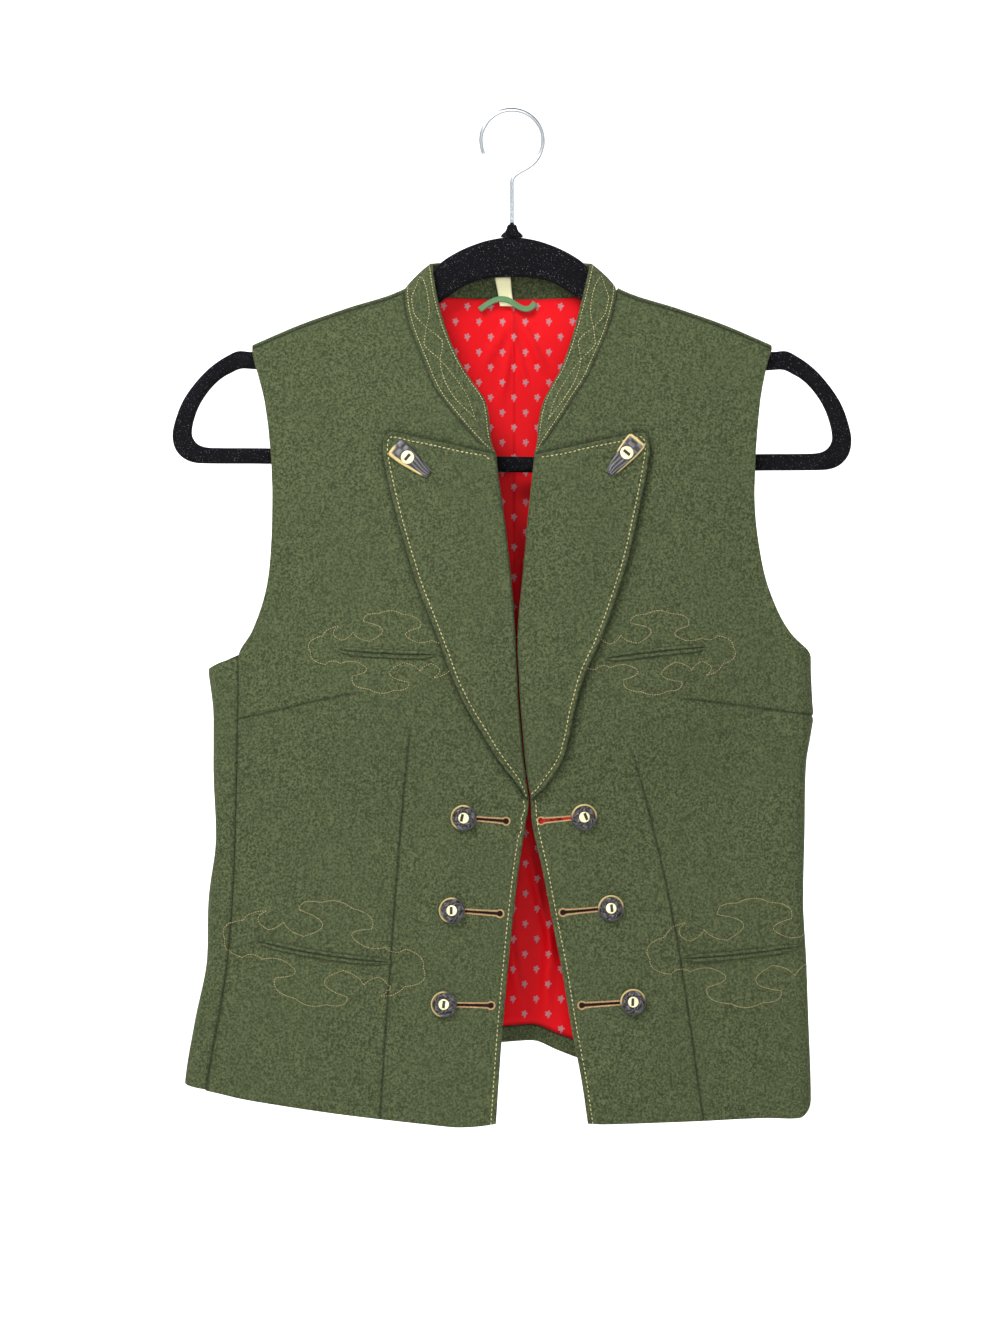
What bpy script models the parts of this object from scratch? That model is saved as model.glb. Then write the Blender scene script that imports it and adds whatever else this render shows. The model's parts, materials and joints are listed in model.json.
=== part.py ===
"""A green wool waistcoat on a flocked hanger, modelled as a tailor cuts and sews it.

The sizes below are in millimetres and become metres when a mesh is made. X runs to the right of
someone who faces the waistcoat, Y runs away from them, and Z runs up. The origin is the point
inside the top of the hook where a rail would touch it. The wearer's right front is therefore at
-X, and the outside of both fronts faces -Y.

Every panel lies on one shape, the flattened tube that the waistcoat hangs as. A place on that
shape is given by `across`, the distance round the cloth from the middle, and `up`, the height,
which goes on over the shoulder as a distance along the cloth.
"""

import math

import bpy
import bmesh
import numpy as np

for old in list(bpy.data.objects):
    bpy.data.objects.remove(old)

MM = 0.001
FRONT = -1
BACK = 1

# Walls of cloth and the spaces between them
WOOL = 2.0
LINING = 1.0
LAPEL_WALL = 2.6
COLLAR_WALL = 2.4
SEAM = 0.35
LAYER = 0.3
LAID_ON = 0.5

# The cloth's bend over the hanger's arm: outer radius, and how far below it the body is full
ROUND = 6.7
REACH = 190.0


def table(names, rows):
    """Named columns of a short table whose rows go up in the first column."""
    return dict(zip(names.split(), np.array(rows, float).T))


def smooth(keys, values, at):
    """Reads a column at the places `at`, on a curve that never overshoots its rows."""
    step = np.diff(keys)
    slope = np.diff(values) / step
    tangent = np.concatenate([slope[:1], (slope[1:] + slope[:-1]) / 2, slope[-1:]])
    turns = slope[1:] * slope[:-1] <= 0
    tangent[1:-1][turns] = 0
    steepest = 3 * np.minimum(np.abs(slope[1:]), np.abs(slope[:-1]))
    tangent[1:-1] = np.clip(tangent[1:-1], -steepest, steepest)
    at = np.clip(at, keys[0], keys[-1])
    row = np.clip(np.searchsorted(keys, at) - 1, 0, len(keys) - 2)
    t = (at - keys[row]) / step[row]
    rise = values[row + 1] - values[row]
    bend_in = tangent[row] * step[row]
    bend_out = tangent[row + 1] * step[row]
    return (
        values[row]
        + bend_in * t
        + (3 * rise - 2 * bend_in - bend_out) * t**2
        + (bend_in + bend_out - 2 * rise) * t**3
    )


# The hanging body at each height: its two edges, the radius of the fold there, and how far the
# fronts and the back stand from the hanger's plane at the middle.
BODY = table(
    "height right_edge left_edge edge_radius front_depth back_depth",
    (
        (-670, -217.5, 197.5, 9, 27, 23),
        (-640, -216.0, 197.3, 9, 27, 23),
        (-600, -209.4, 195.8, 9, 26, 22),
        (-560, -201.6, 194.4, 9, 25, 21),
        (-520, -200.4, 192.4, 9, 25, 20),
        (-477, -195.6, 193.2, 9, 26, 19),
        (-430, -197.2, 194.4, 10, 29, 19),
        (-398, -197.2, 198.6, 11, 32, 20),
        (-365, -200.5, 197.4, 11, 33, 21),
        (-300, -200.5, 197.4, 11, 31, 21),
        (-225, -200.5, 197.4, 11, 27, 20),
        (-110, -200.5, 197.4, 11, 22, 19),
    ),
)

# The line over the hanger's arms where the cloth is highest, by distance from the middle
SHOULDER = table(
    "reach height",
    (
        (0, -40.0),
        (35, -82.0),
        (60, -109.0),
        (70.6, -116.2),
        (110, -129.6),
        (140, -140.2),
        (171.6, -153.8),
        (240, -184.0),
    ),
)

# Soft swellings of the cloth: which face, middle, half sizes and how far they stand out
SWELLS = (
    {"face": FRONT, "across": -84, "up": -388, "wide": 44, "tall": 40, "out": 6.0},
    {"face": FRONT, "across": 92, "up": -388, "wide": 44, "tall": 40, "out": 6.0},
    {"face": FRONT, "across": -84, "up": -474, "wide": 50, "tall": 34, "out": -2.5},
    {"face": FRONT, "across": 88, "up": -474, "wide": 50, "tall": 34, "out": -2.5},
    {"face": FRONT, "across": 70, "up": -640, "wide": 30, "tall": 60, "out": 2.5},
    {"face": BACK, "across": -28, "up": -640, "wide": 22, "tall": 90, "out": 4.0},
    {"face": BACK, "across": 33, "up": -640, "wide": 20, "tall": 90, "out": -4.0},
    {"face": BACK, "across": 85, "up": -640, "wide": 26, "tall": 80, "out": 3.5},
    {"face": BACK, "across": -95, "up": -640, "wide": 30, "tall": 80, "out": -3.0},
    {"face": BACK, "across": 0, "up": -215, "wide": 110, "tall": 55, "out": 3.0},
)


def shoulder_top(across):
    """Height of the cloth over the hanger's arm."""
    return smooth(SHOULDER["reach"], SHOULDER["height"], np.abs(across))


def edges(height):
    """Middle of the body, half its flat width and the radius of its side folds."""
    right = smooth(BODY["height"], BODY["right_edge"], height)
    left = smooth(BODY["height"], BODY["left_edge"], height)
    radius = smooth(BODY["height"], BODY["edge_radius"], height)
    return (right + left) / 2, (left - right) / 2 - radius, radius


def depth(side, x, height):
    """How far one face of the body stands out from the hanger's plane."""
    middle, flat, radius = edges(height)
    column = "front_depth" if side == FRONT else "back_depth"
    full = smooth(BODY["height"], BODY[column], height)
    crown = np.clip(1 - ((x - middle) / flat) ** 2, 0, 1) ** 1.5
    out = radius + (full - radius) * crown
    for swell in SWELLS:
        if swell["face"] == side:
            sideways = (x - swell["across"]) / swell["wide"]
            upward = (height - swell["up"]) / swell["tall"]
            out = out + swell["out"] * np.exp(-(sideways**2) - upward**2) * np.clip(3 * crown, 0, 1)
    drop = np.clip((shoulder_top(x) - ROUND - height) / REACH, 0, 1)
    return ROUND + (out - ROUND) * (1 - (1 - drop) ** 3)


def face(side, across, up):
    """Points of the cloth's outer face, measured from the middle of the front or of the back."""
    across, up = np.broadcast_arrays(np.asarray(across, float), np.asarray(up, float))
    top = shoulder_top(across)
    past = np.clip((up - (top - ROUND)) / ROUND, 0, math.pi)
    height = np.where(past > 0, top - ROUND + ROUND * np.sin(past), up)
    middle, flat, radius = edges(height)
    side_way = np.sign(across - middle)
    over = np.abs(across - middle) - flat
    turn = np.clip(over / radius, 0, math.pi)
    returned = np.maximum(over - math.pi * radius, 0)
    x = np.where(over > 0, middle + side_way * (flat + radius * np.sin(turn) - returned), across)
    y = np.where(over > 0, radius * np.cos(turn), depth(side, x, height))
    y = np.where(returned > 0, -depth(-side, x, height), y)
    y = np.where(past > 0, ROUND * np.cos(past), y)
    return np.stack([x, side * y, height], -1)


def outward(side, across, up):
    """Unit normals of the outer face."""
    near = 0.6
    along = face(side, across + near, up) - face(side, across - near, up)
    rise = face(side, across, up + near) - face(side, across, up - near)
    normal = np.cross(along, rise) * -side
    return normal / np.linalg.norm(normal, axis=-1, keepdims=True)


def cloth(side, across, up, out=0.0):
    """Points that lie `out` millimetres outside the cloth's outer face."""
    across, up = np.broadcast_arrays(np.asarray(across, float), np.asarray(up, float))
    return face(side, across, up) + outward(side, across, up) * np.asarray(out)[..., None]


def finish(colour, roughness, metallic=0.0):
    """Plain material with one colour."""
    material = bpy.data.materials.new("finish")
    material.use_nodes = True
    shader = material.node_tree.nodes["Principled BSDF"]
    shader.inputs["Base Color"].default_value = (*colour, 1)
    shader.inputs["Roughness"].default_value = roughness
    shader.inputs["Metallic"].default_value = metallic
    material.diffuse_color = (*colour, 1)
    return material


def add_solid(name, points, faces, material):
    """One closed body from points in millimetres."""
    made = bmesh.new()
    corners = [made.verts.new(tuple(float(v) * MM for v in point)) for point in points]
    for loop in faces:
        made.faces.new([corners[n] for n in loop])
    bmesh.ops.recalc_face_normals(made, faces=made.faces)
    mesh = bpy.data.meshes.new(name)
    made.to_mesh(mesh)
    made.free()
    mesh.materials.append(material)
    mesh.shade_smooth()
    mesh.set_sharp_from_angle(angle=math.radians(40))
    thing = bpy.data.objects.new(name, mesh)
    bpy.context.collection.objects.link(thing)
    return thing


def wall(name, outer, inner, material):
    """A wall of cloth between two grids of points, closed round its rim.

    Every square is split along the same diagonal, so that walls laid on each other stay parallel.
    """
    rows, columns = outer.shape[:2]
    count = rows * columns
    points = np.concatenate([outer.reshape(-1, 3), inner.reshape(-1, 3)])
    faces = []
    for r in range(rows - 1):
        for c in range(columns - 1):
            a = r * columns + c
            b = a + columns + 1
            for corner in ((a, a + 1, b), (a, b, b - 1)):
                faces.append(corner)
                faces.append(tuple(n + count for n in reversed(corner)))
    rim = [c for c in range(columns)]
    rim += [r * columns + columns - 1 for r in range(1, rows)]
    rim += [(rows - 1) * columns + c for c in range(columns - 2, -1, -1)]
    rim += [r * columns for r in range(rows - 2, 0, -1)]
    for a, b in zip(rim, rim[1:] + rim[:1]):
        faces.append((a, b, b + count, a + count))
    return add_solid(name, points, faces, material)


def loft(name, rings, material, closed=False):
    """A skin through rings of points, capped at its ends unless it closes on itself."""
    count, sides = rings.shape[:2]
    faces = []
    for r in range(count if closed else count - 1):
        here = r * sides
        there = (r + 1) % count * sides
        for s in range(sides):
            t = (s + 1) % sides
            faces.append((here + s, here + t, there + t, there + s))
    if not closed:
        faces.append(tuple(range(sides)))
        faces.append(tuple(range((count - 1) * sides, count * sides)))
    return add_solid(name, rings.reshape(-1, 3), faces, material)


WOOL_GREEN = finish((0.075, 0.098, 0.042), 0.95)
LINING_RED = finish((0.62, 0.005, 0.012), 0.7)
FLOCK_BLACK = finish((0.006, 0.006, 0.009), 0.95)
HOOK_STEEL = finish((0.72, 0.73, 0.75), 0.2, 1.0)
HORN_BROWN = finish((0.07, 0.05, 0.035), 0.45)
LABEL_CREAM = finish((0.88, 0.80, 0.50), 0.8)
TAPE_GREEN = finish((0.12, 0.26, 0.11), 0.6)
STUD_BRASS = finish((0.78, 0.62, 0.28), 0.35, 1.0)

# The fronts, level by level from the hem: height and place of the front edge, roll line and
# neckline, and of the side seam and armhole. The left front's side seam lies round the edge.
FRONTS = table(
    "edge_up right_edge left_edge right_side_up right_side left_side_up left_side",
    (
        (-664.5, -10.5, 49.4, -645.0, -201.8, -645.0, 206.5),
        (-636.0, -8.6, 45.2, -622.0, -198.0, -622.0, 206.0),
        (-600.0, -6.0, 38.4, -592.0, -192.3, -592.0, 205.0),
        (-564.0, -2.7, 32.5, -560.0, -187.5, -560.0, 203.5),
        (-531.0, 0.6, 26.0, -530.0, -184.8, -530.0, 202.0),
        (-497.5, 4.5, 19.5, -497.0, -183.0, -497.0, 202.0),
        (-469.5, 8.8, 13.2, -469.0, -182.0, -469.0, 202.5),
        (-453.0, 11.0, 11.9, -445.0, -181.4, -445.0, 204.0),
        (-414.0, 6.4, 7.3, -416.0, -180.7, -418.0, 207.0),
        (-381.0, 3.8, 4.7, -386.0, -180.2, -392.0, 208.0),
        (-355.0, 2.4, 3.4, -359.0, -179.8, -366.0, 207.0),
        (-326.0, 0.5, 4.8, -343.0, -171.0, -346.0, 185.0),
        (-290.0, -2.7, 8.4, -316.0, -161.8, -318.0, 170.0),
        (-257.0, -6.6, 11.3, -283.0, -158.1, -283.0, 161.8),
        (-229.0, -9.9, 14.3, -252.0, -157.5, -252.0, 159.4),
        (-221.0, -19.5, 19.8, -240.0, -158.0, -240.0, 159.8),
        (-212.6, -27.5, 25.4, -228.0, -158.5, -228.0, 160.2),
        (-200.0, -38.0, 33.8, -217.0, -159.6, -217.0, 161.0),
        (-188.0, -47.2, 41.2, -207.0, -160.6, -207.0, 161.8),
        (-177.0, -53.0, 48.3, -198.0, -161.9, -198.0, 162.7),
        (-165.0, -57.8, 53.8, -190.0, -163.2, -190.0, 163.6),
        (-143.6, -66.4, 63.0, -175.0, -167.1, -175.0, 166.4),
        (-126.7, -70.4, 67.8, -164.3, -170.2, -164.3, 169.0),
        (-122.9, -70.5, 68.2, -160.5, -171.0, -160.5, 170.5),
        (-119.3, -70.6, 68.6, -156.9, -171.6, -156.9, 171.6),
    ),
)

# How far each front's hem hangs below the straight line between its corners, by share of width
HEM = table(
    "share right_front left_front",
    (
        (0, 0, 0),
        (0.05, 2.5, 1.5),
        (0.16, 5.2, 3.5),
        (0.45, 5.2, 8.5),
        (0.75, 4.0, 13.0),
        (0.89, 2.5, 16.0),
        (0.945, 1.2, 11.0),
        (1, 0, 0),
    ),
)
HEM_FADES = (1.0, 0.55, 0.2)
SHOULDER_RISES = (0.4, 0.8, 1.0, 1.0)
# Shares of a front's width at its columns: even over the flat, closer round the side fold
FOLD_STARTS = 0.898
FRONT_COLUMNS = [*np.linspace(0, FOLD_STARTS, 12), *np.linspace(FOLD_STARTS, 1, 6)[1:]]


def front_grid(which):
    """Where the points of one front lie, as distances across and up the cloth."""
    share = np.array(FRONT_COLUMNS)
    edge, edge_up = FRONTS[which + "_edge"], FRONTS["edge_up"]
    outer, outer_up = FRONTS[which + "_side"], FRONTS[which + "_side_up"]
    across = edge[:, None] + (outer - edge)[:, None] * share
    up = edge_up[:, None] + (outer_up - edge_up)[:, None] * share
    drop = smooth(HEM["share"], HEM[which + "_front"], share)
    for row, part in enumerate(HEM_FADES):
        up[row] -= drop * part
    seam_below_top = edge_up[-1] - shoulder_top(edge[-1])
    line = edge_up[-1] + (outer_up[-1] - edge_up[-1]) * share
    bow = shoulder_top(across[-1]) + seam_below_top - line
    for row, part in zip(range(-4, 0), SHOULDER_RISES):
        up[row] += bow * part
    return across, up


for which in ("right", "left"):
    across, up = front_grid(which)
    wall(f"front_{which}", cloth(FRONT, across, up), cloth(FRONT, across, up, -WOOL), WOOL_GREEN)

# The back's armhole, and its rows over the shoulder as turns round the hanger's arm
SEAM_ROWS = 11
FACING_SHARE = 0.52
ARMHOLE = table(
    "right_up right left_up left",
    (
        (-358, -206, -361, 196),
        (-356, -190, -356, 189),
        (-352, -178, -350, 183),
        (-340, -168, -338, 175),
        (-318, -161, -318, 166),
        (-290, -157, -290, 159.5),
        (-255, -155, -255, 156),
        (-225, -155, -225, 155.5),
        (-200, -157, -200, 157),
        (-180, -161.5, -180, 161.5),
        (-166, -167.5, -166, 167.5),
    ),
)
SHOULDER_TURNS = (0, 0.55, 1.1, 1.6, 2.1, 2.56)
TIP = 171.6
NECK_CORNER = 68.4
# Armhole dip at the wearer's right, where the cloth hangs lowest round the fold
DIP = {"out": 7.5, "wide": 16.0, "up": -356.0, "tall": 40.0}
# Each column of the back: its share of the width at the hem, and its place at the shoulders
BACK_COLUMNS = table(
    "hem top",
    (
        (0.0, -171.6),
        (0.025, -167.0),
        (0.045, -162.5),
        (0.065, -157.5),
        (0.085, -151.5),
        (0.15, -133.0),
        (0.215, -113.0),
        (0.28, -92.0),
        (0.345, -70.6),
        (0.38, -68.0),
        (0.42, -57.0),
        (0.47, -29.0),
        (0.525, 0.0),
        (0.575, 28.0),
        (0.625, 55.5),
        (0.665, 66.0),
        (0.70, 68.6),
        (0.76, 92.0),
        (0.82, 113.0),
        (0.88, 133.0),
        (0.955, 157.5),
        (0.978, 164.5),
        (1.0, 171.6),
    ),
)
BACK_HEM = table(
    "across height",
    (
        (-245, -645),
        (-222, -641),
        (-198, -638),
        (-150, -632),
        (-60, -622),
        (0, -616),
        (14, -615),
        (30, -621),
        (46, -627),
        (100, -634),
        (170, -640),
        (202, -645),
    ),
)
NECKLINE = table("reach up", ((0, -122), (29, -121.6), (57, -119.6), (68, -116.6)))
HEM_LIFT_ENDS = -520.0
NECK_LIFT_STARTS = -350.0
NECK_LIFT_ENDS = -166.0


def round_the_fold(place, height):
    """The back's measure of a place that is given from the middle of the front."""
    middle, flat, radius = edges(height)
    way = np.sign(place - middle)
    return middle + way * (2 * flat + math.pi * radius - np.abs(place - middle))


def back_edges():
    """The back's two side edges from hem to shoulder seam, as across and up."""
    sides = {}
    tip_top = shoulder_top(TIP) - ROUND
    for which, inward in (("right", 1), ("left", -1)):
        levels = FRONTS[which + "_side_up"][:SEAM_ROWS]
        place = FRONTS[which + "_side"][:SEAM_ROWS]
        facing_level = levels[0] + (levels[1] - levels[0]) * FACING_SHARE
        facing_place = place[0] + (place[1] - place[0]) * FACING_SHARE
        levels = np.insert(levels, 1, facing_level)
        place = np.insert(place, 1, facing_place)
        seam = round_the_fold(place, levels) + inward * SEAM
        over = [tip_top + ROUND * turn for turn in SHOULDER_TURNS]
        across = [*seam, *ARMHOLE[which], *([-inward * TIP] * len(over))]
        sides[which] = (np.array(across), np.array([*levels, *ARMHOLE[which + "_up"], *over]))
    return sides


def ease(share):
    """Goes from 0 to 1 with soft ends."""
    share = np.clip(share, 0, 1)
    return share * share * (3 - 2 * share)


def back_grid():
    """Where the points of the back lie, as distances across and up the cloth."""
    sides = back_edges()
    right, right_up = sides["right"]
    left, left_up = sides["left"]
    level = (right_up + left_up) / 2
    rise = ease((level - NECK_LIFT_STARTS) / (NECK_LIFT_ENDS - NECK_LIFT_STARTS))[:, None]
    top = BACK_COLUMNS["top"]
    share = (1 - rise) * BACK_COLUMNS["hem"] + rise * (top + TIP) / (2 * TIP)
    across = right[:, None] + (left - right)[:, None] * share
    up = right_up[:, None] + (left_up - right_up)[:, None] * share
    seam_up = shoulder_top(top) - ROUND + ROUND * SHOULDER_TURNS[-1]
    neck_up = smooth(NECKLINE["reach"], NECKLINE["up"], np.abs(top))
    top_up = np.where(np.abs(top) > NECK_CORNER, seam_up, neck_up)
    up = up + rise * (top_up - level[-1])
    hem = smooth(BACK_HEM["across"], BACK_HEM["height"], across[0])
    fade = ease((HEM_LIFT_ENDS - level) / (HEM_LIFT_ENDS - level[0]))[:, None]
    up = up + fade * (hem - up[0])
    middle, flat, radius = edges(up)
    from_fold = np.abs(across - middle) - flat - math.pi / 2 * radius
    dip = DIP["out"] * np.exp(-((from_fold / DIP["wide"]) ** 2) - ((up - DIP["up"]) / DIP["tall"]) ** 2)
    return across, up - np.where(across < 0, dip, 0)


back_across, back_up = back_grid()
wall(
    "back",
    cloth(BACK, back_across, back_up),
    cloth(BACK, back_across, back_up, -WOOL),
    WOOL_GREEN,
)

# The lining lies inside the back and ends above the hem, where a strip of the wool faces it
HEM_TUCK = 0.4
lining_out = -WOOL - LAYER
lining_across = back_across[1:]
lining_up = back_up[1:].copy()
lining_up[0] += SEAM / 2
wall(
    "back_lining",
    cloth(BACK, lining_across, lining_up, lining_out),
    cloth(BACK, lining_across, lining_up, lining_out - LINING),
    LINING_RED,
)
facing_across = back_across[:2]
facing_up = np.vstack([back_up[0] + HEM_TUCK, back_up[1] - SEAM / 2])
wall(
    "back_hem_facing",
    cloth(BACK, facing_across, facing_up, lining_out),
    cloth(BACK, facing_across, facing_up, lining_out - LINING),
    WOOL_GREEN,
)

# The collar from its front end to the middle of the back. `way` is the face that the seam lies
# on, `seam_up` its height along the cloth, and the free edge is given as a plain place.
COLLAR = table(
    "way seam_up right_seam left_seam free_z right_free left_free free_y",
    (
        (-1, -221.0, -19.5, 19.8, -220.6, -12.6, 15.8, -21.5),
        (-1, -212.6, -27.5, 25.4, -212.5, -13.9, 16.3, -20.5),
        (-1, -200.0, -38.0, 33.8, -201.0, -15.0, 17.8, -19.0),
        (-1, -188.0, -47.2, 41.2, -191.5, -17.4, 20.6, -17.8),
        (-1, -177.0, -53.0, 48.3, -181.0, -24.5, 26.0, -16.5),
        (-1, -165.0, -57.8, 53.8, -170.0, -31.8, 32.0, -15.0),
        (-1, -143.6, -66.4, 63.0, -147.0, -42.3, 40.1, -11.8),
        (-1, -126.7, -70.4, 67.8, -122.0, -49.3, 46.6, -8.8),
        (-1, -119.3, -70.6, 68.6, -104.0, -52.4, 51.0, -5.8),
        (1, -112.4, -70.6, 68.6, -99.6, -53.2, 52.0, 0.0),
        (1, -115.4, -69.4, 67.6, -98.8, -52.0, 50.6, 4.8),
        (1, -117.4, -64.0, 62.5, -98.4, -48.0, 46.5, 7.6),
        (1, -119.9, -50.0, 49.0, -98.0, -38.0, 37.5, 11.0),
        (1, -121.6, -26.0, 26.0, -97.5, -20.0, 20.0, 14.8),
        (1, -122.0, 0.0, 0.0, -97.2, 0.0, 0.0, 16.0),
    ),
)
COLLAR_CLEAR = 0.9
COLLAR_COLUMNS = np.linspace(0, 1, 4)


def collar_half(which):
    """Outer and inner points from the collar's front end to the back, from seam to free edge."""
    place, seam_up = COLLAR[which + "_seam"], COLLAR["seam_up"]
    seam = np.empty((len(place), 3))
    seam_normal = np.empty((len(place), 3))
    for side in (FRONT, BACK):
        rows = COLLAR["way"] == side
        seam[rows] = face(side, place[rows], seam_up[rows])
        seam_normal[rows] = outward(side, place[rows], seam_up[rows])
    free = np.stack([COLLAR[which + "_free"], COLLAR["free_y"], COLLAR["free_z"]], -1)
    band = free - seam
    start = COLLAR_CLEAR / np.linalg.norm(band, axis=-1)
    share = start[:, None] + (1 - start)[:, None] * COLLAR_COLUMNS
    outer = seam[:, None] + band[:, None] * share[..., None]
    normal = grid_normals(outer)
    normal *= np.sign(np.sum(normal[0, 0] * seam_normal[0]))
    normal[:, 0] = seam_normal
    return outer, outer - normal * COLLAR_WALL


def grid_normals(grid):
    """Unit normals of a grid of points, by differences between its neighbours."""
    along = np.gradient(grid, axis=0)
    over = np.gradient(grid, axis=1)
    normal = np.cross(along, over)
    return normal / np.linalg.norm(normal, axis=-1, keepdims=True)


right_outer, right_inner = collar_half("right")
left_outer, left_inner = collar_half("left")
wall(
    "collar",
    np.concatenate([right_outer, left_outer[-2::-1]]),
    np.concatenate([right_inner, left_inner[-2::-1]]),
    WOOL_GREEN,
)

# The lapels, level by level from the break: outer edge and roll line
LAPELS = table(
    "edge_up right_edge left_edge roll_up right_roll left_roll",
    (
        (-450.5, 8.4, 14.6, -452.0, 10.9, 12.0),
        (-443.0, 3.8, 22.0, -443.0, 9.6, 10.6),
        (-427.0, -8.6, 32.3, -427.0, 7.6, 8.4),
        (-410.0, -19.0, 37.2, -410.0, 6.0, 6.9),
        (-391.0, -30.6, 41.4, -391.0, 4.4, 5.3),
        (-371.5, -39.7, 47.2, -371.5, 3.4, 4.3),
        (-352.0, -46.5, 56.0, -352.0, 2.4, 3.4),
        (-332.6, -54.0, 63.5, -332.5, 1.5, 4.2),
        (-313.0, -61.5, 70.0, -313.0, -0.1, 6.1),
        (-292.8, -67.7, 75.9, -293.4, -2.1, 8.0),
        (-272.7, -73.6, 80.5, -273.8, -4.3, 9.7),
        (-254.7, -78.2, 84.5, -257.5, -6.6, 11.3),
        (-236.9, -82.2, 87.9, -243.0, -8.5, 12.9),
        (-224.0, -84.0, 89.6, -234.5, -9.6, 13.8),
        (-216.0, -82.6, 88.2, -229.8, -9.9, 14.3),
        (-213.0, -78.0, 84.5, -228.2, -10.0, 14.4),
    ),
)
LAPEL_COLUMNS = np.linspace(0, 1, 8)
LAPEL_BELLY = 2.2
# The belly grows over the first rows above the break
BREAK_SHARE = 0.35
BELLY_ROWS = 4


def lapel_lift(share):
    """How far the lapel's underside stands off the front, from roll line to edge."""
    return LAID_ON + LAPEL_BELLY * np.sin(math.pi * np.clip(share, 0, 1)) ** 2


def lapel_grid(which):
    """Where the points of one lapel lie on the front that carries it."""
    edge, edge_up = LAPELS[which + "_edge"], LAPELS["edge_up"]
    roll, roll_up = LAPELS[which + "_roll"], LAPELS["roll_up"]
    across = roll[:, None] + (edge - roll)[:, None] * LAPEL_COLUMNS
    up = roll_up[:, None] + (edge_up - roll_up)[:, None] * LAPEL_COLUMNS
    return across, up


for which in ("right", "left"):
    across, up = lapel_grid(which)
    grown = np.minimum(1, BREAK_SHARE + np.arange(len(up)) / BELLY_ROWS)
    under = np.maximum(lapel_lift(LAPEL_COLUMNS) * grown[:, None], LAID_ON)
    wall(
        f"lapel_{which}",
        cloth(FRONT, across, up, under + LAPEL_WALL),
        cloth(FRONT, across, up, under),
        WOOL_GREEN,
    )


def on_lapel(which, across, up):
    """How far out the top of the lapel lies at places on the front."""
    roll = smooth(LAPELS["edge_up"], LAPELS[which + "_roll"], up)
    edge = smooth(LAPELS["edge_up"], LAPELS[which + "_edge"], up)
    return lapel_lift((across - roll) / (edge - roll)) + LAPEL_WALL


# Jetted pockets: two lips with a slit between them, from end to end, and how far they sag
POCKETS = (
    {"name": "pocket_chest_right", "start": (-113.6, -355.2), "end": (-49.3, -358.4), "sag": 1.0},
    {"name": "pocket_chest_left", "start": (59.8, -361.0), "end": (127.1, -353.3), "sag": -0.5},
    {"name": "pocket_hip_right", "start": (-169.1, -545.9), "end": (-79.0, -559.3), "sag": 2.4},
    {"name": "pocket_hip_left", "start": (111.5, -557.4), "end": (190.0, -550.0), "sag": 1.2},
)
POCKET_STATIONS = 15
POCKET_POINT = 0.35
POCKET_TAPER = 5
# Across a pocket, from its lower edge: place and height above the front
LIPS = table(
    "place height",
    ((-3.0, 0.2), (-2.3, 0.9), (-0.7, 0.9), (0, 0.25), (0.7, 0.9), (2.3, 0.9), (3.0, 0.2)),
)

for pocket in POCKETS:
    t = np.linspace(0, 1, POCKET_STATIONS)[:, None]
    (start, start_up), (end, end_up) = pocket["start"], pocket["end"]
    along = np.array([end - start, end_up - start_up])
    along /= np.linalg.norm(along)
    narrow = np.minimum(1, POCKET_POINT + POCKET_TAPER * np.minimum(t, 1 - t))
    across = start + (end - start) * t - along[1] * LIPS["place"] * narrow
    up = start_up + (end_up - start_up) * t + along[0] * LIPS["place"] * narrow
    up = up - pocket["sag"] * 4 * t * (1 - t)
    wall(
        pocket["name"],
        cloth(FRONT, across, up, LAID_ON + LIPS["height"]),
        cloth(FRONT, across, up, np.full(across.shape, LAID_ON)),
        WOOL_GREEN,
    )


def round_piece(name, centre, axes, profile, material, sides=14):
    """A turned piece: rings of (radius, height) round the third of the axes."""
    angle = np.arange(sides) / sides * 2 * math.pi
    circle = np.cos(angle)[:, None] * axes[0] + np.sin(angle)[:, None] * axes[1]
    rings = [centre + circle * radius + axes[2] * height for radius, height in profile]
    return loft(name, np.array(rings), material)


def seat(which_side, across, up, out):
    """Centre and axes of a round piece that lies flat on the cloth."""
    centre = cloth(which_side, across, up, out)
    normal = outward(which_side, across, up)
    right = np.cross(normal, (0, 0, -1.0))
    right /= np.linalg.norm(right)
    return centre, (right, np.cross(normal, right), normal)


# Horn buttons, 17 mm across, with a raised rim and a raised middle
BUTTONS = (
    ("button_right_top", -31.4, -464.6),
    ("button_right_middle", -39.2, -525.2),
    ("button_right_bottom", -44.4, -586.5),
    ("button_left_top", 46.8, -464.0),
    ("button_left_middle", 64.4, -523.9),
    ("button_left_bottom", 78.7, -585.2),
)
BUTTON_PROFILE = ((6.0, 0.0), (8.2, 0.9), (8.5, 2.2), (7.5, 3.3), (5.0, 2.7), (3.5, 2.5), (3.0, 3.5))
for name, across, up in BUTTONS:
    centre, axes = seat(FRONT, across, up, LAID_ON)
    round_piece(name, centre, axes, BUTTON_PROFILE, HORN_BROWN)

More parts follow.
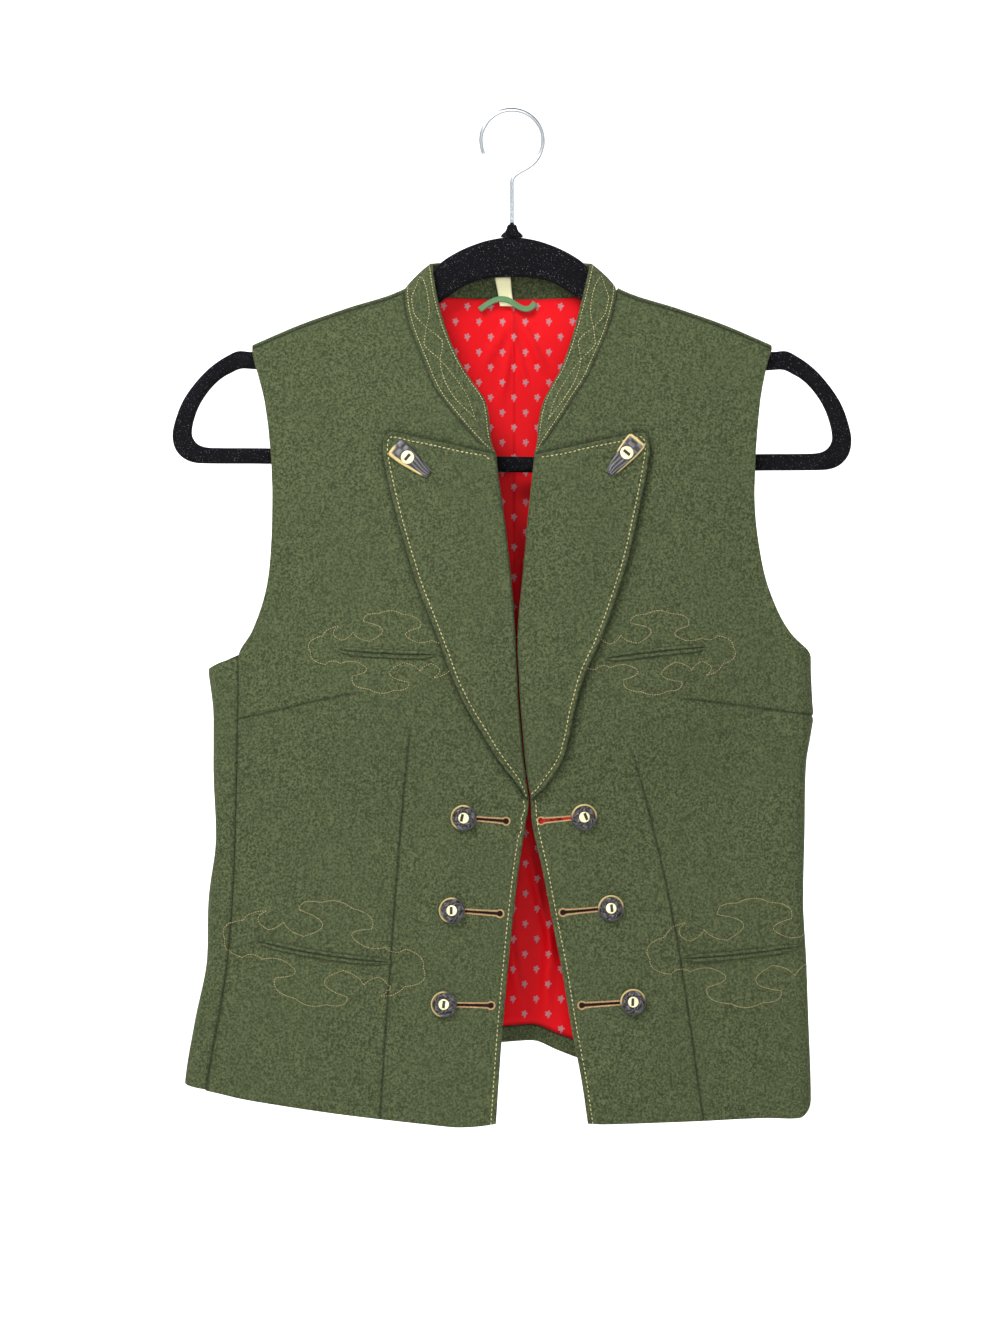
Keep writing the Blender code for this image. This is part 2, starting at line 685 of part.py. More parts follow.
# Horn tabs on the lapels, wide at the top and narrow at the tip, each with a round stud
TABS = (
    {"which": "right", "wide_end": (-76.6, -222.8), "tip": (-53.6, -241.6)},
    {"which": "left", "wide_end": (81.6, -218.2), "tip": (62.6, -241.0)},
)
TAB_OUTLINE = table(
    "along half_width",
    ((0, 3.6), (0.05, 5.6), (0.12, 6.4), (0.35, 6.0), (0.6, 4.9), (0.82, 3.6), (0.94, 2.6), (1, 1.3)),
)
TAB_WALL = 2.0
TAB_GAP = 0.45
TAB_EDGE_FALL = 0.8
STUD_PROFILE = ((3.6, 0.0), (4.2, 0.35), (4.2, 0.9), (3.7, 1.2))
STUD_PLACE = 0.34
for tab in TABS:
    start, end = np.array(tab["wide_end"]), np.array(tab["tip"])
    along = (end - start) / np.linalg.norm(end - start)
    sideways = np.array([-along[1], along[0]])
    line = start + (end - start) * TAB_OUTLINE["along"][:, None]
    spread = np.array([-1, -0.5, 0, 0.5, 1])
    places = line[:, None] + sideways * (TAB_OUTLINE["half_width"][:, None] * spread)[..., None]
    base = on_lapel(tab["which"], places[..., 0], places[..., 1]) + TAB_GAP
    crown = TAB_WALL - TAB_EDGE_FALL * spread**4
    top = cloth(FRONT, places[..., 0], places[..., 1], base + crown)
    wall(f"lapel_tab_{tab['which']}", top, cloth(FRONT, places[..., 0], places[..., 1], base), HORN_BROWN)
    across, up = start + (end - start) * STUD_PLACE
    out = on_lapel(tab["which"], across, up) + TAB_GAP + TAB_WALL + LAYER
    centre, axes = seat(FRONT, across, up, out)
    round_piece(f"tab_stud_{tab['which']}", centre, axes, STUD_PROFILE, STUD_BRASS, sides=12)

# The blank label and the hanging loop inside the back of the neck
LABEL = table("height left right", ((-127.0, -8.0, 1.4), (-118.0, -9.4, 0.0), (-107.5, -11.6, -0.9)))
LABEL_Y = 11.0
LABEL_WALL = 1.0
label_face = np.stack(
    [
        np.stack([LABEL["left"], (LABEL["left"] + LABEL["right"]) / 2, LABEL["right"]], -1),
        np.full((3, 3), LABEL_Y),
        np.repeat(LABEL["height"][:, None], 3, axis=1),
    ],
    -1,
)
wall("neck_label", label_face, label_face + (0, LABEL_WALL, 0), LABEL_CREAM)

LOOP = table(
    "x z y",
    (
        (-21.5, -129.6, 9.9),
        (-17.5, -126.6, 9.7),
        (-13.0, -123.9, 9.5),
        (-8.0, -122.4, 9.2),
        (-3.0, -123.0, 9.1),
        (1.5, -125.4, 9.2),
        (5.5, -128.0, 9.5),
        (9.5, -129.0, 9.7),
        (12.8, -127.8, 9.8),
        (15.4, -124.6, 9.9),
    ),
)
LOOP_WIDE = 3.0
LOOP_WALL = 1.0
path = np.stack([LOOP["x"], LOOP["y"], LOOP["z"]], -1)
heading = np.gradient(path, axis=0)
heading[:, 1] = 0
heading /= np.linalg.norm(heading, axis=-1, keepdims=True)
upward = np.stack([-heading[:, 2], heading[:, 1], heading[:, 0]], -1) * LOOP_WIDE / 2
through = np.array([0, LOOP_WALL / 2, 0])
near_face = (path - upward - through, path + upward - through)
far_face = (path + upward + through, path - upward + through)
loft("hanging_loop", np.stack([*near_face, *far_face], 1), TAPE_GREEN)

# The hanger's loop: outer and inner outline of the hump, then of a round end and half the bar
HUMP = (
    (0, -82.5, 0, -108.9),
    (14.5, -84.3, 14.0, -109.6),
    (27.7, -88.5, 26.0, -112.4),
    (38.0, -93.4, 35.0, -117.0),
    (46.8, -99.3, 43.0, -122.4),
    (51.3, -104.8, 48.0, -126.2),
    (57.6, -115.0, 54.5, -130.8),
    (63.5, -121.4, 61.5, -133.6),
    (70.0, -123.6, 68.5, -135.6),
)
END = (
    (179.5, -157.6, 177.0, -169.4),
    (189.4, -161.7, 185.5, -172.4),
    (199.3, -168.6, 192.5, -176.6),
    (209.2, -178.9, 200.0, -184.2),
    (217.0, -190.1, 206.3, -194.0),
    (222.0, -202.5, 210.2, -204.8),
    (224.2, -213.5, 211.2, -212.2),
    (221.8, -223.3, 208.8, -217.8),
    (215.2, -229.6, 204.4, -220.6),
    (205.0, -232.0, 197.0, -221.6),
    (160.0, -232.4, 160.0, -221.9),
    (80.0, -236.0, 80.0, -225.6),
    (0.0, -237.8, 0.0, -227.4),
)
ARM_STARTS = 80.0
ARM_ENDS = 172.0
ARM_ROWS = 8
ARM_TALL = 11.8
HANGER_HALF = 2.7
HANGER_CROWN = 2.45
FLAT_HALF = 1.2
SHOULDER_CUT = 1.7
# The wearer's left end of the hanger hangs a little deeper than the other
DEEP_END = 1.06
DEEP_FROM = -158.0


def hanger_half():
    """Rows of outer and inner outline from the middle of the hump to the middle of the bar."""
    arms = []
    for reach in np.linspace(ARM_STARTS, ARM_ENDS, ARM_ROWS):
        outer = float(shoulder_top(reach)) - ROUND + HANGER_CROWN
        slope = float(shoulder_top(reach + 1) - shoulder_top(reach - 1)) / 2
        arms.append((reach, outer, reach + slope * ARM_TALL, outer - ARM_TALL))
    return np.array([*HUMP, *arms, *END], float)


half = hanger_half()
other = half[-2:0:-1] * (-1, 1, -1, 1)
for column in (1, 3):
    low = np.minimum(half[:, column] - DEEP_FROM, 0)
    half[:, column] += low * (DEEP_END - 1) * np.clip(half[:, 0] / 150, 0, 1)
outline = np.concatenate([half, other])
rings = []
for outer_x, outer_z, inner_x, inner_z in outline:
    outer, inner = np.array([outer_x, 0, outer_z]), np.array([inner_x, 0, inner_z])
    inward = (inner - outer) / np.linalg.norm(inner - outer)
    flat, full = np.array([0, FLAT_HALF, 0]), np.array([0, HANGER_HALF, 0])
    cut = inward * SHOULDER_CUT
    rings.append(
        (
            outer - flat,
            outer + cut - full,
            inner - cut - full,
            inner - flat,
            inner + flat,
            inner - cut + full,
            outer + cut + full,
            outer + flat,
        )
    )
loft("hanger_body", np.array(rings), FLOCK_BLACK, closed=True)

# The flocked boss on the hump, oval because the hanger is thin
BOSS = ((7.3, 2.9, -82.2), (6.4, 2.9, -80.4), (4.1, 2.8, -78.2), (3.3, 2.6, -76.0), (2.6, 2.4, -74.2))
boss_angles = np.arange(12) / 12 * 2 * math.pi
boss_rings = [
    np.stack([wide * np.cos(boss_angles), thick * np.sin(boss_angles), np.full(12, height)], -1)
    for wide, thick, height in BOSS
]
loft("hanger_boss", np.array(boss_rings), FLOCK_BLACK)

# The wire hook: a stem, a bend to the right and a round loop with its open end at the left
WIRE = 1.5
LOOP_RADIUS = 20.5
STEM_FOOT = -73.9
STEM_TOP = -47.0
BEND_HANDLE = 7.0
LOOP_FROM = math.radians(-50)
LOOP_TO = math.radians(205)
WIRE_SIDES = 8
loop_centre = np.array([0, 0, WIRE - LOOP_RADIUS])


def loop_point(angle):
    """A place on the middle of the wire's round loop."""
    return loop_centre + LOOP_RADIUS * np.array([math.cos(angle), 0, math.sin(angle)])


def bend_point(t):
    """The stem's bend into the loop, a cubic between two headings."""
    start = np.array([0, 0, STEM_TOP])
    end = loop_point(LOOP_FROM)
    out = np.array([-math.sin(LOOP_FROM), 0, math.cos(LOOP_FROM)])
    first = start + np.array([0, 0, BEND_HANDLE])
    second = end - out * BEND_HANDLE
    return (1 - t) ** 3 * start + 3 * (1 - t) ** 2 * t * first + 3 * (1 - t) * t**2 * second + t**3 * end


wire = [np.array([0, 0, STEM_FOOT]), np.array([0, 0, (STEM_FOOT + STEM_TOP) / 2])]
wire += [bend_point(t) for t in np.linspace(0, 1, 7)]
wire += [loop_point(angle) for angle in np.linspace(LOOP_FROM, LOOP_TO, 26)[1:]]
wire = np.array(wire)
wire_heading = np.gradient(wire, axis=0)
wire_heading /= np.linalg.norm(wire_heading, axis=-1, keepdims=True)
wire_side = np.stack([wire_heading[:, 2], np.zeros(len(wire)), -wire_heading[:, 0]], -1)
turn = (np.arange(WIRE_SIDES) / WIRE_SIDES * 2 * math.pi)[:, None]
wire_rings = [
    point + WIRE * (np.cos(turn) * sideways + np.sin(turn) * (0, 1, 0))
    for point, sideways in zip(wire, wire_side)
]
loft("hanger_hook", np.array(wire_rings), HOOK_STEEL)
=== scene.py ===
"""Looks of a green wool waistcoat that hangs on a flocked hanger.

Sizes are in millimetres up to the moment a mesh is made, and +X is to the right of someone who
faces the waistcoat. The wearer's right front is therefore at -X.
"""

import json
import math

import bmesh
import bpy
import numpy as np
from mathutils.bvhtree import BVHTree
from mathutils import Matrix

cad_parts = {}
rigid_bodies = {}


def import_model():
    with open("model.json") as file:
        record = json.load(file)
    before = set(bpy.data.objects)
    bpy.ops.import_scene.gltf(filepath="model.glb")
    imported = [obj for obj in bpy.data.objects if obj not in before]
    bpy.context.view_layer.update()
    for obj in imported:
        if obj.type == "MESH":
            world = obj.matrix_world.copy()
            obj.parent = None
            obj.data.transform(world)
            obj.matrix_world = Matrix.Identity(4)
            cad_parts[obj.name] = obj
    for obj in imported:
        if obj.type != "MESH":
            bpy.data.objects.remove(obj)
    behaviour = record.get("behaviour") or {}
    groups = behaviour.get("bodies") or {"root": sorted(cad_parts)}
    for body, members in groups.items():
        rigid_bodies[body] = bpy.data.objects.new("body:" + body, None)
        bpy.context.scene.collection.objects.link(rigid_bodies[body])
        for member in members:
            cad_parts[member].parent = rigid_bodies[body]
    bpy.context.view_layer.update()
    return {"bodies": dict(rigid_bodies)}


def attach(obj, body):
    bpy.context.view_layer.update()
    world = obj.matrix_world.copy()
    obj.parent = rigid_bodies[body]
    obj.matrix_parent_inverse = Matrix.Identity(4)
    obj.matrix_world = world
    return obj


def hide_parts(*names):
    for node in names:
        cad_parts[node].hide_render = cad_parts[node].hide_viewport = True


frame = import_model()
body = list(frame["bodies"])[0]

# The set. A pale floor that curves up all round like a studio sweep, soft lamps before, above and
# behind the waistcoat, and a camera level with its middle, as in the photograph.
MM = 0.001
CAMERA = (-7.9, -2200.0, -366.0)
LENS = 60.0
SENSOR_TALL = 24.0
FLOOR = -1250.0
SWEEP_RADIUS = 5200.0
SWEEP_CURVE = 1500.0
SWEEP_TALL = 5200.0
AIR_STRENGTH = 0.38

camera = bpy.data.objects.new("camera", bpy.data.cameras.new("camera"))
camera.data.sensor_fit = "VERTICAL"
camera.data.sensor_height = SENSOR_TALL
camera.data.lens = LENS
camera.location = [v * MM for v in CAMERA]
camera.rotation_euler = (math.pi / 2, 0, 0)
bpy.context.collection.objects.link(camera)
bpy.context.scene.camera = camera
bpy.context.scene.view_settings.view_transform = "Standard"


class Wire:
    """A socket of a material, so that sums on its values can be written as Python expressions."""

    def __init__(self, finish, socket):
        self.finish = finish
        self.socket = socket

    def maths(self, operation, *values):
        made = self.finish.node("ShaderNodeMath", {"operation": operation}, dict(enumerate(values)))
        return made["Value"]

    def __add__(self, other):
        return self.maths("ADD", self, other)

    def __radd__(self, other):
        return self.maths("ADD", other, self)

    def __sub__(self, other):
        return self.maths("SUBTRACT", self, other)

    def __rsub__(self, other):
        return self.maths("SUBTRACT", other, self)

    def __mul__(self, other):
        return self.maths("MULTIPLY", self, other)

    def __rmul__(self, other):
        return self.maths("MULTIPLY", other, self)

    def __truediv__(self, other):
        return self.maths("DIVIDE", self, other)

    def __pow__(self, other):
        return self.maths("POWER", self, other)

    def between(self, low, high):
        """0 at low, 1 at high, with soft ends; low may be the larger."""
        steps = {"interpolation_type": "SMOOTHSTEP"}
        return self.finish.node("ShaderNodeMapRange", steps, {0: self, 1: low, 2: high})["Result"]


class Finish:
    """A material whose nodes are added one by one to its Principled shader."""

    def __init__(self, name, **fixed):
        self.material = bpy.data.materials.new(name)
        self.material.use_nodes = True
        self.tree = self.material.node_tree
        self.shader = self.tree.nodes["Principled BSDF"]
        for socket, value in fixed.items():
            self.shader.inputs[socket.replace("_", " ").title().replace("Ior", "IOR")].default_value = value

    def node(self, kind, settings=None, sockets=None):
        """Adds a node: its settings first, then values or links for its sockets."""
        made = self.tree.nodes.new(kind)
        for name, value in (settings or {}).items():
            setattr(made, name, value)
        for name, value in (sockets or {}).items():
            if isinstance(value, Wire):
                self.tree.links.new(value.socket, made.inputs[name])
            elif isinstance(value, tuple) and len(value) == 3 and made.inputs[name].type == "RGBA":
                made.inputs[name].default_value = (*value, 1)
            else:
                made.inputs[name].default_value = value
        return {out.name: Wire(self, out) for out in made.outputs if out.enabled}

    def mix(self, share, first, second):
        """Goes from the first colour to the second."""
        sockets = {"Factor": share, 6: first, 7: second}
        made = self.tree.nodes.new("ShaderNodeMix")
        made.data_type = "RGBA"
        for name, value in sockets.items():
            if isinstance(value, Wire):
                self.tree.links.new(value.socket, made.inputs[name])
            elif isinstance(value, tuple):
                made.inputs[name].default_value = (*value, 1)
            else:
                made.inputs[name].default_value = value
        return Wire(self, made.outputs[2])

    def noise(self, place, scale, detail=3.0, rough=0.55, warp=0.0):
        sockets = {"Vector": place, "Scale": scale, "Detail": detail, "Roughness": rough, "Distortion": warp}
        return self.node("ShaderNodeTexNoise", {}, sockets)["Fac"]

    def places(self):
        """The object's own coordinates, in metres."""
        return self.node("ShaderNodeTexCoord")["Object"]

    def stretched(self, place, scale, turn=(0, 0, 0)):
        sockets = {"Vector": place, "Scale": scale, "Rotation": turn}
        return self.node("ShaderNodeMapping", {}, sockets)["Vector"]

    def attribute(self, name):
        return self.node("ShaderNodeAttribute", {"attribute_name": name})["Fac"]

    def use(self, socket, wire):
        self.tree.links.new(wire.socket, self.shader.inputs[socket])

    def bump(self, height, strength, distance):
        sockets = {"Height": height, "Strength": strength, "Distance": distance}
        made = self.node("ShaderNodeBump", {}, sockets)
        self.use("Normal", made["Normal"])


def make_piece(name, mesh, finish):
    """Links a mesh into the scene as a piece with one material."""
    mesh.materials.clear()
    mesh.materials.append(finish.material)
    thing = bpy.data.objects.new(name, mesh)
    bpy.context.collection.objects.link(thing)
    return thing


def ring_faces(count, sides, closed=False):
    """The faces of a skin laid over rings of points, one ring after the other."""
    faces = []
    for ring in range(count if closed else count - 1):
        here, there = ring * sides, (ring + 1) % count * sides
        for s in range(sides):
            t = (s + 1) % sides
            faces.append((here + s, here + t, there + t, there + s))
    return faces


def turned_profile(name, profile, finish, sides=64):
    """A round mesh from (radius, height) pairs; the first may lie on the axis."""
    angle = np.arange(sides) / sides * 2 * math.pi
    profile = np.array(profile)
    rings = np.stack(
        [
            profile[:, :1] * np.cos(angle),
            profile[:, :1] * np.sin(angle),
            np.repeat(profile[:, 1:], sides, axis=1),
        ],
        -1,
    )
    mesh = bpy.data.meshes.new(name)
    mesh.from_pydata((rings.reshape(-1, 3) * MM).tolist(), [], ring_faces(len(profile), sides))
    mesh.shade_smooth()
    return make_piece(name, mesh, finish)


sweep_finish = Finish("pale_sweep", roughness=0.9)
sweep_finish.shader.inputs["Base Color"].default_value = (0.92, 0.92, 0.915, 1)
curve_turn = np.linspace(0, math.pi / 2, 14)
sweep_line = [(1.0, FLOOR)]
sweep_line += [
    (SWEEP_RADIUS - SWEEP_CURVE + SWEEP_CURVE * math.sin(a), FLOOR + SWEEP_CURVE * (1 - math.cos(a)))
    for a in curve_turn
]
sweep_line += [(SWEEP_RADIUS, FLOOR + SWEEP_TALL)]
sweep = turned_profile("floor_sweep", sweep_line, sweep_finish)

world = bpy.data.worlds.new("studio_air")
world.use_nodes = True
world.node_tree.nodes["Background"].inputs["Color"].default_value = (1.0, 1.0, 1.0, 1)
world.node_tree.nodes["Background"].inputs["Strength"].default_value = AIR_STRENGTH
bpy.context.scene.world = world

LAMPS = (
    {"name": "key", "at": (-750, -1250, 1100), "aim": (0, 0, -366), "size": 700, "power": 42},
    {"name": "front", "at": (150, -2500, -200), "aim": (0, 0, -420), "size": 900, "power": 18},
    {"name": "rear", "at": (600, 2400, 1100), "aim": (0, 0, -366), "size": 1400, "power": 30},
    {"name": "wall_left", "at": (-2500, 1700, -200), "aim": (500, 5200, -300), "size": 1600, "power": 130},
    {"name": "wall_right", "at": (2500, 1700, -200), "aim": (-500, 5200, -300), "size": 1600, "power": 130},
)
for lamp in LAMPS:
    light = bpy.data.lights.new(lamp["name"], "AREA")
    light.shape = "DISK"
    light.size = lamp["size"] * MM
    light.energy = lamp["power"]
    shown = bpy.data.objects.new(lamp["name"], light)
    shown.location = [v * MM for v in lamp["at"]]
    aim = np.subtract(lamp["aim"], lamp["at"])
    shown.rotation_euler = (math.atan2(math.hypot(aim[0], aim[1]), -aim[2]), 0, math.atan2(-aim[0], aim[1]))
    shown.visible_camera = False
    bpy.context.collection.objects.link(shown)

# The back. One cut of milled green wool, 2 mm thick, that wraps round both sides to the side
# seams and over both shoulders to seams just before the hanger's arms; hem and armholes are
# turned in and pressed.
FRONT = -1
BACK = 1
WOOL = 2.0
LINING = 1.0
SEAM_LAP = 0.8
LAYER = 0.3
ROUND = 6.7
REACH = 190.0


def table(names, rows):
    """Named columns of a short table whose rows go up in the first column."""
    return dict(zip(names.split(), np.array(rows, float).T))


def smooth(keys, values, at):
    """Reads a column at the places `at`, on a curve that never overshoots its rows."""
    step = np.diff(keys)
    slope = np.diff(values) / step
    tangent = np.concatenate([slope[:1], (slope[1:] + slope[:-1]) / 2, slope[-1:]])
    turns = slope[1:] * slope[:-1] <= 0
    tangent[1:-1][turns] = 0
    steepest = 3 * np.minimum(np.abs(slope[1:]), np.abs(slope[:-1]))
    tangent[1:-1] = np.clip(tangent[1:-1], -steepest, steepest)
    at = np.clip(at, keys[0], keys[-1])
    row = np.clip(np.searchsorted(keys, at) - 1, 0, len(keys) - 2)
    t = (at - keys[row]) / step[row]
    rise = values[row + 1] - values[row]
    bend_in = tangent[row] * step[row]
    bend_out = tangent[row + 1] * step[row]
    return (
        values[row]
        + bend_in * t
        + (3 * rise - 2 * bend_in - bend_out) * t**2
        + (bend_in + bend_out - 2 * rise) * t**3
    )


def by_row(values, t):
    """Reads a column by its row number, which may lie between rows."""
    return smooth(np.arange(len(values), dtype=float), values, t)


def ease(share):
    """Goes from 0 to 1 with soft ends."""
    share = np.clip(share, 0, 1)
    return share * share * (3 - 2 * share)


# The hanging body at each height: its two edges, the radius of the fold there, and how far the
# fronts and the back stand from the hanger's plane at the middle.
BODY = table(
    "height right_edge left_edge edge_radius front_depth back_depth",
    (
        (-670, -217.5, 197.5, 9, 27, 23),
        (-640, -216.0, 197.3, 9, 27, 23),
        (-600, -209.4, 195.8, 9, 26, 22),
        (-560, -201.6, 194.4, 9, 25, 21),
        (-520, -200.4, 192.4, 9, 25, 20),
        (-477, -195.6, 193.2, 9, 26, 19),
        (-430, -197.2, 194.4, 10, 29, 19),
        (-398, -197.2, 198.6, 11, 32, 20),
        (-365, -200.5, 197.4, 11, 33, 21),
        (-300, -200.5, 197.4, 11, 31, 21),
        (-225, -200.5, 197.4, 11, 27, 20),
        (-110, -200.5, 197.4, 11, 22, 19),
    ),
)
# The line over the hanger's arms where the cloth is highest, by distance from the middle
SHOULDER = table(
    "reach height",
    (
        (0, -40.0),
        (35, -82.0),
        (60, -109.0),
        (70.6, -116.2),
        (110, -129.6),
        (140, -140.2),
        (171.6, -153.8),
        (240, -184.0),
    ),
)
# Soft swellings of the cloth: which face, middle, half sizes and how far they stand out
SWELLS = (
    {"face": FRONT, "across": -84, "up": -388, "wide": 44, "tall": 40, "out": 6.0},
    {"face": FRONT, "across": 92, "up": -388, "wide": 44, "tall": 40, "out": 6.0},
    {"face": FRONT, "across": -84, "up": -474, "wide": 50, "tall": 34, "out": -2.5},
    {"face": FRONT, "across": 88, "up": -474, "wide": 50, "tall": 34, "out": -2.5},
    {"face": FRONT, "across": 70, "up": -640, "wide": 30, "tall": 60, "out": 2.5},
    {"face": BACK, "across": -28, "up": -640, "wide": 22, "tall": 90, "out": 4.0},
    {"face": BACK, "across": 33, "up": -640, "wide": 20, "tall": 90, "out": -4.0},
    {"face": BACK, "across": 85, "up": -640, "wide": 26, "tall": 80, "out": 3.5},
    {"face": BACK, "across": -95, "up": -640, "wide": 30, "tall": 80, "out": -3.0},
    {"face": BACK, "across": 0, "up": -215, "wide": 110, "tall": 55, "out": 3.0},
)


def shoulder_top(across):
    """Height of the cloth over the hanger's arm."""
    return smooth(SHOULDER["reach"], SHOULDER["height"], np.abs(across))


def edges(height):
    """Middle of the body, half its flat width and the radius of its side folds."""
    right = smooth(BODY["height"], BODY["right_edge"], height)
    left = smooth(BODY["height"], BODY["left_edge"], height)
    radius = smooth(BODY["height"], BODY["edge_radius"], height)
    return (right + left) / 2, (left - right) / 2 - radius, radius


def depth(side, x, height):
    """How far one face of the body stands out from the hanger's plane."""
    middle, flat, radius = edges(height)
    column = "front_depth" if side == FRONT else "back_depth"
    full = smooth(BODY["height"], BODY[column], height)
    crown = np.clip(1 - ((x - middle) / flat) ** 2, 0, 1) ** 1.5
    out = radius + (full - radius) * crown
    for swell in SWELLS:
        if swell["face"] == side:
            sideways = (x - swell["across"]) / swell["wide"]
            upward = (height - swell["up"]) / swell["tall"]
            out = out + swell["out"] * np.exp(-(sideways**2) - upward**2) * np.clip(3 * crown, 0, 1)
    drop = np.clip((shoulder_top(x) - ROUND - height) / REACH, 0, 1)
    return ROUND + (out - ROUND) * (1 - (1 - drop) ** 3)


def face(side, across, up):
    """Points of the cloth's outer face, by distance round and up the cloth."""
    across, up = np.broadcast_arrays(np.asarray(across, float), np.asarray(up, float))
    top = shoulder_top(across)
    past = np.clip((up - (top - ROUND)) / ROUND, 0, math.pi)
    height = np.where(past > 0, top - ROUND + ROUND * np.sin(past), up)
    middle, flat, radius = edges(height)
    side_way = np.sign(across - middle)
    over = np.abs(across - middle) - flat
    turn = np.clip(over / radius, 0, math.pi)
    returned = np.maximum(over - math.pi * radius, 0)
    x = np.where(over > 0, middle + side_way * (flat + radius * np.sin(turn) - returned), across)
    y = np.where(over > 0, radius * np.cos(turn), depth(side, x, height))
    y = np.where(returned > 0, -depth(-side, x, height), y)
    y = np.where(past > 0, ROUND * np.cos(past), y)
    return np.stack([x, side * y, height], -1)


def outward(side, across, up):
    """Unit normals of the outer face."""
    near = 0.6
    along = face(side, across + near, up) - face(side, across - near, up)
    rise = face(side, across, up + near) - face(side, across, up - near)
    normal = np.cross(along, rise) * -side
    return normal / np.linalg.norm(normal, axis=-1, keepdims=True)


def cloth(side, across, up, out=0.0):
    """Points that lie `out` millimetres outside the cloth's outer face."""
    across, up = np.broadcast_arrays(np.asarray(across, float), np.asarray(up, float))
    return face(side, across, up) + outward(side, across, up) * np.asarray(out)[..., None]


# Distances from an edge at which the mesh has a line, so that the turned edge is round
CLOSE = np.array([0, 0.12, 0.35, 0.7, 1.1, 1.7, 2.4, 3.2, 4.2])
# How wide the cloth sinks at a seam, and what a row of stitches does to it: a channel under the
# stitches and a swollen welt outside it, each by its place inside the edge, width and height
SEAM_WIDE = 1.5
STITCH_CHANNEL = (3.2, 0.7, 0.3)
EDGE_WELT = (1.5, 0.9, 0.25)


def stations(length, step, close=(True, True)):
    """Shares of a run: close together at its ends and even between them."""
    low = CLOSE[-1] if close[0] else 0.0
    high = CLOSE[-1] if close[1] else 0.0
    count = max(2, round((length - low - high) / step))
    places = [*np.linspace(low, length - high, count + 1)]
    if close[0]:
        places = [*CLOSE[:-1], *places]
    if close[1]:
        places = [*places, *(length - CLOSE[-2::-1])]
    return np.array(places) / length


def run_lengths(points, axis):
    """Distance of each point of a grid from both ends of its line, along one axis."""
    step = np.linalg.norm(np.diff(points, axis=axis), axis=-1)
    pad = [(0, 0), (0, 0)]
    pad[axis] = (1, 0)
    far = np.cumsum(np.pad(step, pad), axis=axis)
    total = far.take([-1], axis=axis)
    return far, total - far


def edge_form(points, seamed, thickness, stitched=()):
    """How an edge is formed: rounded where it is turned in, sunk where it is sewn to a neighbour.

    `seamed` has one weight for each edge: first and last column, first and last row. Edges named
    in `stitched` by number have a row of stitches that pulls a channel into the cloth.
    """
    distances = (*run_lengths(points, 1), *run_lengths(points, 0))
    half = thickness / 2
    nearest = np.minimum.reduce(distances)
    fold = np.clip(1 - nearest / half, 0, 1)
    drop = half * (1 - np.sqrt(1 - fold**2))
    sunk = np.zeros(points.shape[:2])
    for distance, weight in zip(distances, seamed):
        sunk = np.maximum(sunk, weight * np.exp(-((distance / SEAM_WIDE) ** 2)))
    channel = np.zeros(points.shape[:2])
    for number in stitched:
        inside, wide, deep = STITCH_CHANNEL
        channel += deep * np.exp(-(((distances[number] - inside) / wide) ** 2))
        inside, wide, high = EDGE_WELT
        channel -= high * np.exp(-(((distances[number] - inside) / wide) ** 2))
    return drop, sunk, channel


def face_outward(mesh):
    """Turns all faces of a closed mesh outward."""
    form = bmesh.new()
    form.from_mesh(mesh)
    bmesh.ops.recalc_face_normals(form, faces=form.faces)
    form.to_mesh(mesh)
    form.free()


def make_shell(name, outer, inner, finish, painted_shade=None, places=None):
    """A closed wall of cloth between two grids, whose rims are one and the same line."""
    rows, columns = outer.shape[:2]
    index = np.arange(rows * columns).reshape(rows, columns)
    rim = np.ones((rows, columns), bool)
    rim[1:-1, 1:-1] = False
    inner_index = np.where(rim, index, 0)
    inner_index[~rim] = rows * columns + np.arange((~rim).sum())
    outer = np.where(rim[..., None], (outer + inner) / 2, outer)
    points = np.concatenate([outer.reshape(-1, 3), inner[~rim]])
    faces = []
    for number, order in ((index, (0, 1, 2, 3)), (inner_index, (3, 2, 1, 0))):
        corners = (number[:-1, :-1], number[:-1, 1:], number[1:, 1:], number[1:, :-1])
        faces.append(np.stack([corners[n] for n in order], -1).reshape(-1, 4))
    mesh = bpy.data.meshes.new(name)
    mesh.from_pydata((points * MM).tolist(), [], np.concatenate(faces).tolist())
    face_outward(mesh)
    # Painted shade: values that darken the colour where shade falls, kept as a point attribute at half
    # strength on the inner face.
    if painted_shade is not None:
        values = np.concatenate([painted_shade.reshape(-1), painted_shade[~rim] * 0.5])
        mesh.attributes.new("painted_shade", "FLOAT", "POINT").data.foreach_set("value", values)
    if places is not None:
        flat = np.concatenate([places.reshape(-1, 2), places[~rim]]) * MM
        corner = np.empty(len(mesh.loops), int)
        mesh.loops.foreach_get("vertex_index", corner)
        mesh.uv_layers.new(name="cloth").data.foreach_set("uv", flat[corner].reshape(-1))
    mesh.shade_smooth()
    return make_piece(name, mesh, finish)


def settle(thing, slot, *nodes):
    """The piece rides on the body and hides the CAD nodes that it stands for; its slot is not used."""
    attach(thing, body)
    if nodes:
        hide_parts(*nodes)
    return thing


WOOL_GREEN = (0.0545, 0.0705, 0.032)
WOOL_DARK = (0.0135, 0.021, 0.009)
WOOL_LIGHT = (0.116, 0.135, 0.065)
WOOL_YELLOW = (0.118, 0.113, 0.042)


